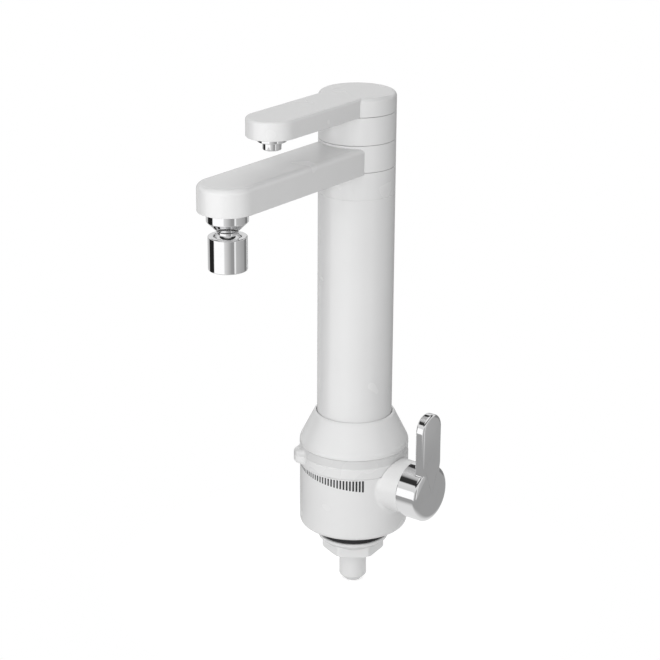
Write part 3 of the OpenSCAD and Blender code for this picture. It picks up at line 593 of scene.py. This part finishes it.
@dataclass
class DeckFixing:
    """Stub, flanged nut and rubber seal that hold the tap on the worktop."""

    stub_r: float = 10.48
    stub_end: float = -40.3
    stub_top: float = 17.0
    way_r: float = 5.0
    chamfer: float = 4.4
    nut_af: float = 41.6
    nut_h: float = 13.4
    flange_r: float = 26.8
    rim_h: float = 2.6
    nut_turn: float = -23.0
    seal_r: float = 26.0
    seal_t: float = 5.0

    def build(self) -> None:
        """Makes the three pieces."""
        self.stub()
        self.nut()
        self.seal()

    def stub(self) -> None:
        """Smooth stub with a rounded chamfer and a bevelled water way."""
        end, inner = self.stub_end, self.stub_r - self.chamfer
        outline = rounded([
            (self.way_r, end + 0.7, 0), (self.way_r + 0.6, end, 0.2), (inner, end, 1.0),
            (self.stub_r, end + self.chamfer, 1.6), (self.stub_r, self.stub_top - 1, 0.3),
            (self.stub_r - 1, self.stub_top, 0.3), (self.way_r, self.stub_top, 0),
        ])
        dress(lathe("inlet_stub_tube", outline), Finish.WHITE, ["inlet_stub"])

    def nut(self) -> None:
        """Flanged hexagon nut, one skin whose radius blends flange, taper and flats."""
        angles = np.radians(np.arange(0, 360, 1.0))
        flats = np.radians(self.nut_turn + 30 + np.arange(0, 360, 60))
        sharp = 34
        sides = np.clip(np.cos(angles[:, None] - flats[None]), 0, None) / (self.nut_af / 2)
        hexagon = (sides**sharp).sum(1) ** (-1 / sharp)
        corner = self.nut_af / sqrt(3)
        taper_end = -self.rim_h - (self.flange_r - corner) * 1.15
        levels = np.concatenate([
            np.linspace(0, -self.rim_h, 9), np.linspace(-self.rim_h - 0.2, taper_end - 1.2, 14),
            np.linspace(taper_end - 1.6, -self.nut_h + 1.5, 6), np.linspace(-self.nut_h + 1.3, -self.nut_h, 9),
        ])
        rows = [circle(self.stub_r + 0.1, 0, angles)]
        for z in levels:
            rim = self.flange_r - 0.5 * max(0, 1 + z / 0.5) ** 2 - 0.4 * max(0, (-z - self.rim_h + 0.5) / 0.5) ** 2
            cone = corner - 1.4 + (self.flange_r - corner + 1.0) * (z - taper_end) / (-self.rim_h - taper_end)
            wide = rim if z > -self.rim_h - 1e-6 else min(cone, self.flange_r - 0.4)
            radius = self._blend(np.full_like(hexagon, wide), hexagon, 0.5)
            bevel = corner + 0.25 - 1.7 * max(0.0, 1 - (z + self.nut_h) / 1.3)
            radius = -self._blend(-radius, np.full_like(radius, -max(bevel, wide if z > taper_end else 0)), 0.25)
            rows.append([(r * cos(a), r * sin(a), z) for r, a in zip(radius, angles)])
        for r, z in ((self.stub_r + 1.1, -self.nut_h), (self.stub_r + 0.1, -self.nut_h + 1.0)):
            rows.append(circle(r, z, angles))
        made = Shell().rows(rows, True).object("deck_nut_flanged")
        dress(made, Finish.WHITE, ["deck_nut"], 40)

    @staticmethod
    def _blend(a: np.ndarray, b: np.ndarray, width: float) -> np.ndarray:
        """Larger of two values with a rounded change from one to the other."""
        h = np.clip(0.5 + 0.5 * (a - b) / width, 0, 1)
        return b * (1 - h) + a * h + width * h * (1 - h) * 0.5

    def seal(self) -> None:
        """Rubber ring with soft corners and a shallow groove round its edge."""
        inner, outer, t = self.stub_r + 0.3, self.seal_r, self.seal_t
        outline = rounded([
            (inner, 0.02, 0.3), (outer - 0.2, 0.02, 0.9), (outer, 1.6, 0.5), (outer - 0.35, t / 2, 0.8),
            (outer, t - 1.6, 0.5), (outer - 0.2, t - 0.02, 0.9), (inner, t - 0.02, 0.3),
        ])
        dress(lathe("deck_seal_ring", outline), Finish.RUBBER, ["deck_seal"], 50)


@dataclass
class LowerBody:
    """Round body with the valve boss and the printed flow scale."""

    radius: float = 41.0
    base: float = 9.4
    top: float = 60.1
    foot_r: float = 25.0
    foot_z: float = 5.0
    edge: float = 4.0
    neck_r: float = 37.6
    neck_top: float = 84.0
    neck_in: float = 33.2
    boss_r: float = 20.3
    boss_x: float = 53.5
    hollow_r: float = 14.0
    hollow: float = 10.0
    valve_z: float = 50.0
    blend: float = 3.6
    clear_r: float = 42.0
    bars: int = 26
    bar_from: float = -131.0
    bar_to: float = -42.4
    bar_share: Point = (0.36, 0.6)
    bar_low: float = 1.4
    bar_high: float = 9.2
    bar_gap: float = 0.9

    def build(self) -> None:
        """Makes the body and its scale."""
        self.body()
        self.scale()

    def body(self) -> None:
        """Body and boss as one solid, cut clear of the flow ring."""
        outline = rounded([
            (0, self.foot_z, 0), (self.foot_r, self.foot_z, 0.4), (self.foot_r, self.base, 0.6),
            (self.radius, self.base, self.edge), (self.radius, self.top, 0.55), (self.neck_r, self.top, 0.3),
            (self.neck_r, self.neck_top, 0.3), (self.neck_in, self.neck_top, 0.3), (self.neck_in, self.top + 4, 0),
            (0, self.top + 4, 0),
        ], False, 9)
        made = lathe("lower_body_moulding", outline, 240, None, False)
        joined(made, self.boss())
        cut = rounded([(self.neck_r - 4, self.top - 0.01, 0), (self.clear_r, self.top - 0.01, 0.5),
                       (self.clear_r, self.top + 20, 0), (self.neck_r - 4, self.top + 20, 0)])
        ring = lathe("cut", [(max(r, self.neck_r + 0.001), z) for r, z in cut], 240)
        joined(made, ring, "DIFFERENCE")
        dress(made, Finish.WHITE, ["lower_body"], 24)

    def boss(self) -> Piece:
        """Valve boss that flares softly into the round wall."""
        lines = [self.boss_line(cos(a), sin(a)) for a in np.radians(np.arange(0, 360, 2.0))]
        return Shell().rows(list(zip(*lines)), caps=(0, -1)).object("boss")

    def boss_line(self, c: float, s: float) -> Ring:
        """Points along the boss in one plane through its axis.

        Args:
            c: cosine of the plane's angle round the axis.
            s: sine of that angle.

        Returns:
            The points from the hollow end to inside the body.
        """

        def wall(p: float) -> float:
            """Depth of the body's wall at a distance from the boss's axis."""
            return sqrt(max(self.radius**2 - (p * c) ** 2, 1))

        def slope(p: float) -> float:
            """Slope of the wall there."""
            return (wall(p + 0.01) - wall(p - 0.01)) / 0.02

        r, end_x, hollow_r, hollow = self.boss_r, self.boss_x, self.hollow_r, self.hollow
        fillet = 0.5 + (self.blend - 0.5) * float(ease(self.top - self.valve_z - r * s, 0, 6))
        foot = r + fillet
        for _ in range(12):
            foot = r + fillet + slope(foot) * fillet / hypot(1, slope(foot))
        centre = wall(foot) + fillet / hypot(1, slope(foot))
        line = [(hollow_r - 4, end_x - hollow), (hollow_r, end_x - hollow), (hollow_r, end_x - 0.3),
                (hollow_r + 0.3, end_x), (r - 0.7, end_x), (r - 0.2, end_x - 0.2), (r, end_x - 0.7)]
        for a in np.linspace(-pi, atan2(-1, slope(foot)), 10):
            line.append((r + fillet + fillet * cos(a), centre + fillet * sin(a)))
        line += [(foot + 0.7, wall(foot + 0.7) - 0.12), (foot, 30.0)]
        return [(x, p * c, self.valve_z + p * s) for p, x in line]

    def scale(self) -> None:
        """Wedge of printed bars under the flow ring, as thin ink on the wall."""
        shell = Shell()
        pitch = (self.bar_to - self.bar_from) / self.bars
        for i in range(self.bars):
            middle = self.bar_from + (i + 0.5) * pitch
            t = (i + 0.5) / self.bars
            high = self.top - self.bar_gap
            low = high - (self.bar_low + (self.bar_high - self.bar_low) * t)
            half = pitch * (self.bar_share[0] + (self.bar_share[1] - self.bar_share[0]) * t) / 2
            angles = np.radians(np.linspace(middle - half, middle + half, 4))
            under, over = self.radius - 0.05, self.radius + 0.03
            section = [(under, low), (over, low), (over, high), (under, high)]
            shell.rows([[(r * cos(a), r * sin(a), z) for r, z in section] for a in angles], caps=(0, -1))
        dress(shell.object("flow_scale_bars"), Finish.INK, (), 30)


@dataclass
class FlowRing:
    """Ring with a shallow cove and a finger tab that grows out of it."""

    inner: float = 37.68
    outer: float = 41.5
    low: float = 60.4
    high: float = 75.42
    cove_from: float = 68.2
    cove: float = 0.35
    tab_reach: float = 46.8
    tab_w: float = 12.0
    tab_angle: float = -128.0
    tab_round: float = 4.4
    tab_inset: float = 2.0
    tab_fade: Point = (3.6, 4.6)
    count: int = 60

    def build(self) -> None:
        """Skins the ring, with the tab's outline mixed in over its width."""
        r, low, high, tip = self.outer, self.low, self.high, self.tab_reach
        edge, coved = r - 1.2, r - self.cove
        tab_low, tab_high = low + self.tab_inset, high - self.tab_inset
        plain = resample(rounded([
            (edge, low, 0), (r, low, 0.45), (r, self.cove_from, 0.5), (coved, self.cove_from + 0.5, 0.5),
            (coved, high - 1.0, 0.5), (r - 0.1, high, 0.12), (edge, high, 0),
        ], False), self.count)
        tab = resample(rounded([
            (edge, low, 0), (r - 0.6, low + 0.25, 0.3), (r + 0.3, tab_low, 0.5), (tip, tab_low, self.tab_round),
            (tip, tab_high, self.tab_round), (r, tab_high, 0.5), (r - 0.6, high - 0.2, 0.3), (edge, high, 0),
        ], False, 8), self.count)
        inside = rounded([(edge, high, 0), (self.inner, high, 0.3), (self.inner, low, 0.3), (edge, low, 0)],
                         False)[1:-1]
        fine = np.arange(-16, 16, 0.25)
        angles = np.concatenate([self.tab_angle + fine, self.tab_angle + np.arange(16, 344, 2.0)])
        rows = []
        for a in angles:
            share = self.share((a - self.tab_angle + 180) % 360 - 180)
            line = [*(plain * (1 - share) + tab * share), *inside]
            c, s = cos(radians(a)), sin(radians(a))
            rows.append([(r * c, r * s, z) for r, z in line])
        made = Shell().rows(rows, True).object("flow_ring_band")
        # Its finish paints the upper band darker grey as shade of the cove.
        dress(made, Finish.RING, ["flow_ring"], 45, "flow_ring")

    def share(self, turn: float) -> float:
        """How far the tab stands out at an angle from its middle, from 0 to 1."""
        across = abs(radians(turn) * self.outer)
        return float(ease(across, self.tab_w / 2 + self.tab_fade[0], self.tab_w / 2 - self.tab_fade[1]))


@dataclass
class ColumnParts:
    """Conical collar, column tube and the two fixed rings between the hubs."""

    collar_z: float = 75.6
    column_z: float = 101.2
    collar_r: float = 41.3
    collar_in: float = 37.7
    mouth_r: float = 29.5
    skirt: float = 1.7
    column_r: float = 28.25
    column_in: float = 25.5
    foot: float = 84.0
    top: float = 272.7
    spacer_in: float = 20.1
    lower_spacer: Point = (272.7, 292.75)
    upper_spacer: Point = (312.85, 333.05)

    def build(self) -> None:
        """Makes the four pieces."""
        r, inner, low, high = self.collar_r, self.collar_in, self.collar_z, self.column_z
        bore, seat = self.column_r + 0.3, self.foot + 2.7
        outline = rounded([
            (inner, low, 0.2), (r, low, 0.15), (r, low + self.skirt + 1.3, 6.5), (self.mouth_r + 1.1, high - 1.15, 1.6),
            (self.mouth_r, high, 0.45), (bore + 0.3, high, 0.15), (bore + 0.3, high - 2.4, 0), (bore, high - 2.8, 0),
            (bore, seat, 0), (bore + 2.4, seat, 0), (bore + 2.4, self.foot, 0), (inner, self.foot, 0),
        ], True, 4)
        dress(lathe("collar_cone", outline, 200), Finish.WHITE, ["collar"])
        self.tube("column_tube_sleeve", "column_tube", self.foot, self.top, self.column_in)
        self.tube("lower_spacer_ring", "lower_spacer", *self.lower_spacer, self.spacer_in)
        self.tube("upper_spacer_ring", "upper_spacer", *self.upper_spacer, self.spacer_in)

    def tube(self, name: str, node: str, low: float, high: float, inner: float) -> None:
        """Plain ring with softened edges, so that each seam shows as a fine line.

        Args:
            name: the piece's name.
            node: the solid that it stands for.
            low: its lower end.
            high: its upper end.
            inner: its inner radius.
        """
        r = self.column_r
        outline = rounded([(inner, low, 0.2), (r, low, 0.3), (r, high, 0.3), (inner, high, 0.2)])
        dress(lathe(name, outline, 180), Finish.WHITE, [node])


@dataclass
class Spout:
    """Round hub with a flat arm along -Y whose upper edges are rounded."""

    node: str
    low: float
    high: float
    half: float
    reach: float
    hub_edge: float
    ceiling: float | None
    outlet_r: float
    outlet_h: float
    edge: float
    low_edge: float
    hub_r: float = 28.25
    bore: float = 20.08
    root_r: float = 24.2
    hang: float = 0.0
    screw_r: float = 1.3
    screw_z: float = 335.5

    def build(self) -> None:
        """Unites hub and arm and opens the outlet."""
        arm = self.arm()
        if self.hang:
            reach, top = self.hub_r + 0.3, self.low + 0.4
            joined(arm, rod("clear", reach, top - 9, top, 180), "DIFFERENCE")
        made = joined(self.hub(), arm, touching=True)
        hole = rod("hole", self.outlet_r, self.low - self.hang - 1, self.low + self.outlet_h, 72, at(0, -self.reach, 0))
        joined(made, hole, "DIFFERENCE")
        if self.ceiling:
            back = at(0, 0, self.screw_z) @ Matrix.Rotation(radians(-90), 4, "X")
            joined(made, rod("hole", self.screw_r, self.bore - 1.08, 40, 40, back), "DIFFERENCE")
        dress(made, Finish.WHITE, [self.node], 26, self.node)

    def hub(self) -> Piece:
        """The hub, open for the post; the upper one has a closed top."""
        low, high, r = self.low, self.high, self.hub_r
        if self.ceiling is None:
            wall = [(self.bore, low, 0.2), (r, low, 0.3), (r, high, self.hub_edge), (self.bore, high, 0.2)]
            return lathe(f"{self.node}_cast", rounded(wall), 180)
        outline = rounded([
            (0, self.ceiling, 0), (self.bore, self.ceiling, 0), (self.bore, low, 0.2), (r, low, 0.3),
            (r, high, self.hub_edge), (r * 0.5, high, 0), (0, high, 0),
        ], False, 8)
        return lathe(f"{self.node}_cast", outline, 180, None, False)

    def arm(self) -> Piece:
        """The arm, from inside the hub's wall to its round tip."""
        w, reach = self.half, self.reach
        side = sqrt(self.root_r**2 - w**2)
        stations = np.linspace(-side, -reach, 26)[:-1]
        points = [(w, y, 1.0, 0.0) for y in stations]
        points += [(w * cos(a), -reach - w * sin(a), cos(a), -sin(a))
                   for a in np.linspace(0, pi, 73)]
        points += [(-w, y, -1.0, 0.0) for y in stations[::-1]]
        back = np.linspace(atan2(-side, -w), atan2(-side, w), 24)[1:-1]
        points += [(self.root_r * cos(a), self.root_r * sin(a), 0.0, 0.0) for a in back]
        low, high = self.low - self.hang, self.high - self.hang - 0.03
        flat = 8.0
        section = rounded([(flat, low, 0), (0, low, self.low_edge), (0, high, self.edge), (flat, high, 0)], False, 6)
        rows = [[(x - nx * d, y - ny * d, z) for x, y, nx, ny in points] for d, z in section]
        return Shell().rows(rows, caps=(0, -1)).object("arm")


@dataclass
class Outlets:
    """Chrome nozzle of the upper spout and ball-jointed aerator of the main one."""

    upper_y: float = -98.7
    nozzle_top: float = 333.35
    nozzle_h: float = 9.7
    nozzle_r: float = 6.6
    nozzle_way: float = 4.0
    flange_r: float = 10.3
    flange_t: float = 3.9
    socket_r: float = 6.0
    socket_h: float = 3.4
    main_y: float = -147.0
    ball_z: float = 268.9
    cup_top: float = 291.55
    cup_r: float = 14.5
    rim_h: float = 7.3
    neck_r: float = 7.5
    ball_r: float = 9.8
    way_r: float = 4.4
    barrel_r: float = 13.55
    barrel_low: float = 250.2
    barrel_high: float = 273.9
    bore_r: float = 11.8
    lip_r: float = 9.45
    cone_h: float = 6.9
    spigot_r: float = 10.4
    spigot_h: float = 6.9
    ball_cut: float = 8.4
    cell: float = 1.9
    cell_wall: float = 0.26
    grid_r: float = 8.9
    insert_r: float = 11.75
    insert_in: float = 9.4
    insert_h: float = 6.0

    def build(self) -> None:
        """Makes the nozzle, adapter, barrel and its honeycomb insert."""
        top, r, wide, way = self.nozzle_top, self.nozzle_r, self.flange_r, self.nozzle_way
        tip, under, socket = top - self.nozzle_h, top - self.flange_t, top + self.socket_h
        nozzle = rounded([
            (way, socket, 0), (way, tip + 0.6, 0), (way + 0.6, tip, 0.2), (r, tip, 0.9), (r, under, 0.35),
            (wide, under, 0.6), (wide, top, 0.3), (self.socket_r, top, 0), (self.socket_r, socket, 0.3),
        ])
        made = lathe("nozzle_turned", nozzle, 96, at(0, self.upper_y, 0))
        dress(made, Finish.CHROME, ["outlet_nozzle"], 35, "upper_spout")
        self.adapter()
        self.barrel()
        self.insert()

    def adapter(self) -> None:
        """Flared cup, narrow neck and drilled ball in one turned piece."""
        z, cup = self.ball_z, self.cup_top
        meet = sqrt(self.ball_r**2 - self.neck_r**2)
        start = atan2(-self.ball_cut, sqrt(self.ball_r**2 - self.ball_cut**2))
        end = atan2(meet, self.neck_r)
        ball = [(self.ball_r * cos(a), z + self.ball_r * sin(a)) for a in np.linspace(start, end, 22)]
        upper = rounded([
            (self.neck_r, z + meet, 0), (self.neck_r, cup - self.rim_h - self.cone_h, 1.0),
            (self.cup_r, cup - self.rim_h, 1.4), (self.cup_r, cup, 0.5), (self.spigot_r, cup, 0.2),
            (self.spigot_r, cup + self.spigot_h, 0.4), (self.way_r, cup + self.spigot_h, 0),
        ], False, 9)[1:]
        made = lathe("adapter_turned", [(self.way_r, z - self.ball_cut), *ball, *upper], 144, at(0, self.main_y, 0))
        dress(made, Finish.CHROME, ["aerator_adapter"], 35, "main_spout")

    def barrel(self) -> None:
        """Open barrel with a soft lower edge and a fine bead under its top."""
        low, high, r = self.barrel_low, self.barrel_high, self.barrel_r
        outline = rounded([
            (self.bore_r, low + 0.3, 0), (self.bore_r + 0.3, low, 0.15), (r, low, 2.0), (r, high, 0.8),
            (self.lip_r + 0.5, high, 0.25), (self.lip_r, high - 0.6, 0.2), (self.lip_r, high - 1.2, 0),
            (self.bore_r, high - 1.2, 0),
        ])
        made = lathe("barrel_turned", outline, 160, at(0, self.main_y, 0))
        dress(made, Finish.CHROME, ["aerator_barrel"], 35, "aerator_barrel")

    def insert(self) -> None:
        """Rim with a honeycomb grid that breaks up the stream."""
        low, r, thin = self.barrel_low + 0.3, self.insert_r, self.insert_in
        high, ledge = low + self.insert_h, self.insert_r - 1.05
        rim = rounded([(thin, low + 3.4, 0), (thin, low, 0.25), (r, low, 0.25), (r, high, 0.2),
                       (ledge, high, 0.2), (ledge, low + 4.2, 0), (thin, low + 4.2, 0)])
        angles = np.linspace(0, 2 * pi, 96, endpoint=False)
        shell = Shell().rows([circle(r, z, angles) for r, z in rim], True)
        corners = np.radians(np.arange(30, 390, 60))
        outer, inner = self.cell / sqrt(3), (self.cell - self.cell_wall) / sqrt(3)
        walls = ((outer, low + 2.6), (inner, low + 2.6), (inner, low + 3.8), (outer, low + 3.8))
        for i in range(-7, 8):
            for j in range(-7, 8):
                x, y = self.cell * (i + j / 2), self.cell * j * sqrt(3) / 2
                if hypot(x, y) <= self.grid_r:
                    shell.rows([[(x + r * cos(a), y + r * sin(a), z) for a in corners] for r, z in walls])
        made = shell.object("aerator_honeycomb", at(0, self.main_y, 0))
        dress(made, Finish.GREY, ["aerator_cartridge"], 30, "aerator_barrel")


@dataclass
class Lever:
    """Round chrome hub and upright paddle under one face with rolled edges."""

    valve_z: float = 50.0
    back: float = 53.8
    face: float = 72.15
    hub_r: float = 21.3
    half: float = 12.0
    height: float = 63.5
    plate_back: float = 64.4
    back_edge: float = 1.4
    hub_roll: Point = (5.3, 3.1)
    paddle_roll: Point = (2.6, 2.2)
    bow: float = 0.4
    inner_corner: float = 1.6
    recess_r: float = 17.9
    recess: float = 4.5
    screw_x: float = 60.64
    screw_r: float = 2.1

    def outline(self) -> np.ndarray:
        """Keyhole outline in (across, up) points from the hub's centre, evenly spaced."""
        def arc(radius: float, level: float, angles: Sequence[float]) -> list[Corner]:
            """Part of a circle round a point on the middle line."""
            return [(radius * cos(a), level + radius * sin(a), 0) for a in angles]

        r, w, tip, quarter = self.hub_r, self.half, self.height - self.half, pi / 2
        join = asin(w / r)
        notch = r * cos(join)
        line = rounded([
            *arc(r, 0, np.linspace(-quarter, quarter - join - 0.02, 60)), (w, notch, self.inner_corner), (w, tip, 0),
            *arc(w, tip, np.linspace(0.03, pi - 0.03, 60)), (-w, tip, 0), (-w, notch, self.inner_corner),
            *arc(r, 0, np.linspace(quarter + join + 0.02, 1.5 * pi, 60)[:-1]),
        ])
        return resample([*line, line[0]], 421)[:-1]

    def face_x(self, points: np.ndarray) -> np.ndarray:
        """Level of the face at (across, up) points: flat on the hub, bowed on the paddle."""
        bend = self.bow * (points[:, 0] / self.half) ** 2
        return self.face - bend * ease(points[:, 1], 8.0, 42.0)

    def build(self) -> None:
        """Skins the face, its rolled edge, the walls and the hollow back row by row."""

        def level(x: Any, ring: np.ndarray) -> list[tuple[float, ...]]:
            """Ring of (across, up) points at a depth or a row of depths."""
            return [tuple(p) for p in np.column_stack([np.full(len(ring), x), ring])]

        line = self.outline()
        polar = np.linalg.norm(line, axis=1)
        unit = line / polar[:, None]
        along = np.roll(line, -1, 0) - np.roll(line, 1, 0)
        normal = np.stack([along[:, 1], -along[:, 0]], 1) / np.linalg.norm(along, axis=1)[:, None]
        share = ease(line[:, 1], 16.0, 24.0)
        wide = self.hub_roll[0] + (self.paddle_roll[0] - self.hub_roll[0]) * share
        deep = self.hub_roll[1] + (self.paddle_roll[1] - self.hub_roll[1]) * share
        inset = line - normal * wide[:, None]
        rows = [level(self.face_x(inset * t), inset * t) for t in np.linspace(0.04, 0.97, 24)]
        for a in np.radians(np.linspace(0, 90, 13)):
            ring = inset + normal * (wide * sin(a))[:, None]
            rows.append(level(self.face_x(inset) - deep * (1 - cos(a)), ring))
        on_hub = polar <= self.hub_r + 0.05
        rows.append(level(self.plate_back + self.back_edge + 0.2, line))
        for a in np.radians([0, 22.5, 45, 67.5, 90]):
            ring = np.where(on_hub[:, None], line, line - normal * self.back_edge * (1 - cos(a)))
            rows.append(level(self.plate_back + self.back_edge * (1 - sin(a)), ring))
        hub = unit * np.minimum(polar, self.hub_r)[:, None]
        back, floor = self.back, self.back + self.recess
        rows += [level(self.plate_back, hub), level(back + 0.8, hub)]
        for x, r in ((back + 0.25, self.hub_r - 0.15), (back, self.hub_r - 0.7), (back, self.recess_r),
                     (floor, self.recess_r - 0.2), (floor, 0.5)):
            rows.append(level(x, unit * r))
        made = Shell().rows([[(self.face, 0, 0)], *rows], caps=(-1,)).object("lever_cast", at(0, 0, self.valve_z))
        joined(made, rod("hole", self.screw_r, 25, 46, 48, at(self.screw_x, 0, 0)), "DIFFERENCE")
        dress(made, Finish.CHROME, ["lever_handle"], 38, "lever")


class Inside:
    """Finishes of the solids that stay as they are, inside the shells."""

    def build(self) -> None:
        """Gives every solid that is still shown its finish."""
        finishes = {f.value.slot: f for f in Finish if f is not Finish.INK}
        slots = {row["node"]: row["material_slot"] for row in frame["record"]["subparts"]}
        for name, node in frame["nodes"].items():
            if node.hide_render:
                continue
            material = finishes[slots[name]].value.material()
            for held in node.material_slots:
                held.material = material
            log.info("%s: kept solid in %s", name, material.name)


# ---- studio


@dataclass(frozen=True)
class Lamp:
    """Large soft lamp: degrees right of the camera and above the horizon, side in mm, power."""

    name: str
    turn: float
    rise: float
    size: float
    watts: float


LAMPS = (
    Lamp("key", -12, 12, 400, 8.5), Lamp("side", -55, 10, 800, 2.5), Lamp("high", -25, 40, 700, 4.0),
    Lamp("right", 35, 35, 700, 1.2), Lamp("rear", 180, 40, 900, 10.0), Lamp("back", 130, 10, 900, 4.7),
)
TURN_TONES = (
    (-180, 0.62), (-127, 0.62), (-124, 0.02), (-85, 0.02), (-81, 1.22), (-19, 1.2), (-16, 0.82), (5, 0.6), (24, 0.36),
    (39, 0.34), (42, 1.0), (49, 1.0), (52, 0.56), (75, 0.5), (108, 0.40), (116, 0.24), (150, 0.21), (176, 0.5),
    (180, 0.62),
)
RISE_TONES = ((-90, 0.8), (10, 0.75), (33, 0.85), (36, 0.03), (49, 0.04), (53, 0.5), (60, 0.75), (66, 0.95), (90, 0.95))


def height_share(rise: float) -> float:
    """Where a height in degrees above the horizon lies between straight down, 0, and straight up, 1."""
    return sin(radians(rise)) / 2 + 0.5


@dataclass
class Studio:
    """Camera, floor, lamps and surroundings."""

    azimuth: float = 36.76
    elevation: float = 19.864
    roll: float = 0.336
    distance: float = 1492.6
    aim_right: float = -18.765
    aim_up: float = 164.3
    lens: float = 109.09
    floor_z: float = -40.5
    ambient: float = 0.31
    lamp_far: float = 1500.0
    lamp_aim: float = 170.0

    def build(self) -> None:
        """Sets up the view, the floor and the light."""
        self.camera()
        self.world()
        self.floor()
        for lamp in LAMPS:
            self.light(lamp)
        bpy.context.scene.view_settings.view_transform = "Standard"

    def toward(self, turn: float, rise: float) -> Vector:
        """Direction at degrees right of the camera and above the horizon."""
        a, e = radians(self.azimuth + turn), radians(rise)
        return Vector((sin(a) * cos(e), -cos(a) * cos(e), sin(e)))

    def camera(self) -> None:
        """Camera at the picture's angle."""
        a, roll = radians(self.azimuth), radians(self.roll)
        right, back = Vector((cos(a), sin(a), 0)), self.toward(0, self.elevation)
        up = back.cross(right)
        x, y = right * cos(roll) + up * sin(roll), up * cos(roll) - right * sin(roll)
        data = bpy.data.cameras.new("camera")
        data.lens, data.sensor_width, data.clip_end = self.lens, 36, 20
        made = linked("camera", data)
        place = (right * self.aim_right + Vector((0, 0, self.aim_up)) + back * self.distance) * MM
        turn = Matrix((x, y, back)).transposed().to_4x4()
        made.matrix_world = Matrix.Translation(place) @ turn
        bpy.context.scene.camera = made

    def tones(self, tree: Tree, x: Sock, y: Sock, z: Sock | None) -> Sock:
        """Brightness of the studio that polished surfaces mirror, by direction.

        Args:
            tree: where the nodes go.
            x: the direction's X.
            y: its Y.
            z: its height over the unit sphere, or None for the floor.

        Returns:
            The colour.
        """
        turn = (x.atan2(y * -1) - radians(self.azimuth)).wrap(-pi, pi) / (2 * pi) + 0.5
        ramp = [((angle + 180) / 360, (v, v, v)) for angle, v in TURN_TONES]
        level = tree.node("ShaderNodeValToRGB", {"stops": ramp}, {"Fac": turn})
        if z is None:
            # Painted reflection on the floor: pale under the tap, grey out to about 0.33 m, then the studio's tones.
            away = tree.length(tree.place())
            close = tree.mix(away.soft(0.10, 0.19), (0.85, 0.85, 0.85), (0.38, 0.38, 0.38))
            return tree.mix(away.soft(0.33, 0.40), close, level)
        rise = z * 0.5 + 0.5
        ramp = [(height_share(angle), (v, v, v)) for angle, v in RISE_TONES]
        sky = tree.node("ShaderNodeValToRGB", {"stops": ramp}, {"Fac": rise})
        return tree.mix(rise.soft(height_share(11), height_share(15)), level, sky)

    def world(self) -> None:
        """White to the camera, even light on the object, a studio in polished metal."""
        world = bpy.data.worlds.new("studio")
        bpy.context.scene.world = world
        tree = Tree(world)
        way = tree.node("ShaderNodeTexCoord", {}, {}, "Generated")
        x, y, z = (tree.axis(way, k) for k in "XYZ")
        colour = tree.mix(tree.ray("Is Glossy Ray"), (self.ambient,) * 3, self.tones(tree, x, y, z))
        colour = tree.mix(tree.ray("Is Camera Ray"), colour, (1.0, 1.0, 1.0))
        shader = tree.node("ShaderNodeBackground", {}, {"Color": colour, "Strength": 1.0})
        tree.node("ShaderNodeOutputWorld", {}, {"Surface": shader})

    def floor(self) -> None:
        """Pale round floor that keeps a soft shadow and melts into the white; to glossy rays it glows as a painted
        reflection.
        """
        rings = [(r, self.floor_z) for r in (0.0, 60, 120, 200, 320, 480, 700)]
        made = lathe("floor", rings, 96, None, False)
        material = bpy.data.materials.new("pale_floor")
        tree = Tree(material)
        place = tree.place()
        x, y = tree.axis(place, "X"), tree.axis(place, "Y")
        white = (1, 1, 1, 1)
        near = tree.node("ShaderNodeAddShader", {}, {0: tree.diffuse(0.86), 1: tree.emission(white, 0.45)})
        away = tree.length(place).soft(0.03, 0.20)
        seen = tree.node("ShaderNodeMixShader", {}, {0: away, 1: near, 2: tree.emission(white)})
        lit = tree.node("ShaderNodeMixShader", {}, {0: tree.ray("Is Camera Ray"), 1: tree.diffuse(0.70), 2: seen})
        # Painted reflection: glossy rays see the floor glow with the studio's tones instead of its lit colour.
        mirrored = tree.emission(self.tones(tree, x, y, None))
        both = tree.node("ShaderNodeMixShader", {}, {0: tree.ray("Is Glossy Ray"), 1: lit, 2: mirrored})
        tree.node("ShaderNodeOutputMaterial", {}, {"Surface": both})
        material.cycles.emission_sampling = "NONE"
        made.data.materials.append(material)

    def light(self, lamp: Lamp) -> None:
        """Places one lamp so that it points at the column.

        Args:
            lamp: where it stands, its size and its power.
        """
        way = self.toward(lamp.turn, lamp.rise)
        data = bpy.data.lights.new(lamp.name, "AREA")
        data.shape, data.size, data.energy = "SQUARE", lamp.size * MM, lamp.watts
        made = linked(lamp.name, data)
        made.location = (way * self.lamp_far + Vector((0, 0, self.lamp_aim))) * MM
        made.rotation_mode = "QUATERNION"
        made.rotation_quaternion = way.to_track_quat("Z", "Y")
        made.visible_camera = False
        made.visible_glossy = False


def main() -> None:
    """Builds the tap from the worktop up, then the studio round it."""
    logging.basicConfig(level=logging.INFO, format="%(message)s")
    DeckFixing().build()
    LowerBody().build()
    FlowRing().build()
    ColumnParts().build()
    Spout("main_spout", low=293.05, high=312.55, half=20.7, reach=147.0, hub_edge=0.3, ceiling=None,
          outlet_r=10.5, outlet_h=8.0, edge=4.6, low_edge=0.5, hang=1.5).build()
    Spout("upper_spout", low=333.35, high=346.8, half=18.2, reach=98.7, hub_edge=3.6, ceiling=343.2,
          outlet_r=6.1, outlet_h=3.6, edge=1.9, low_edge=0.6).build()
    Outlets().build()
    Lever().build()
    Inside().build()
    Studio().build()


if __name__ == "__main__":
    main()
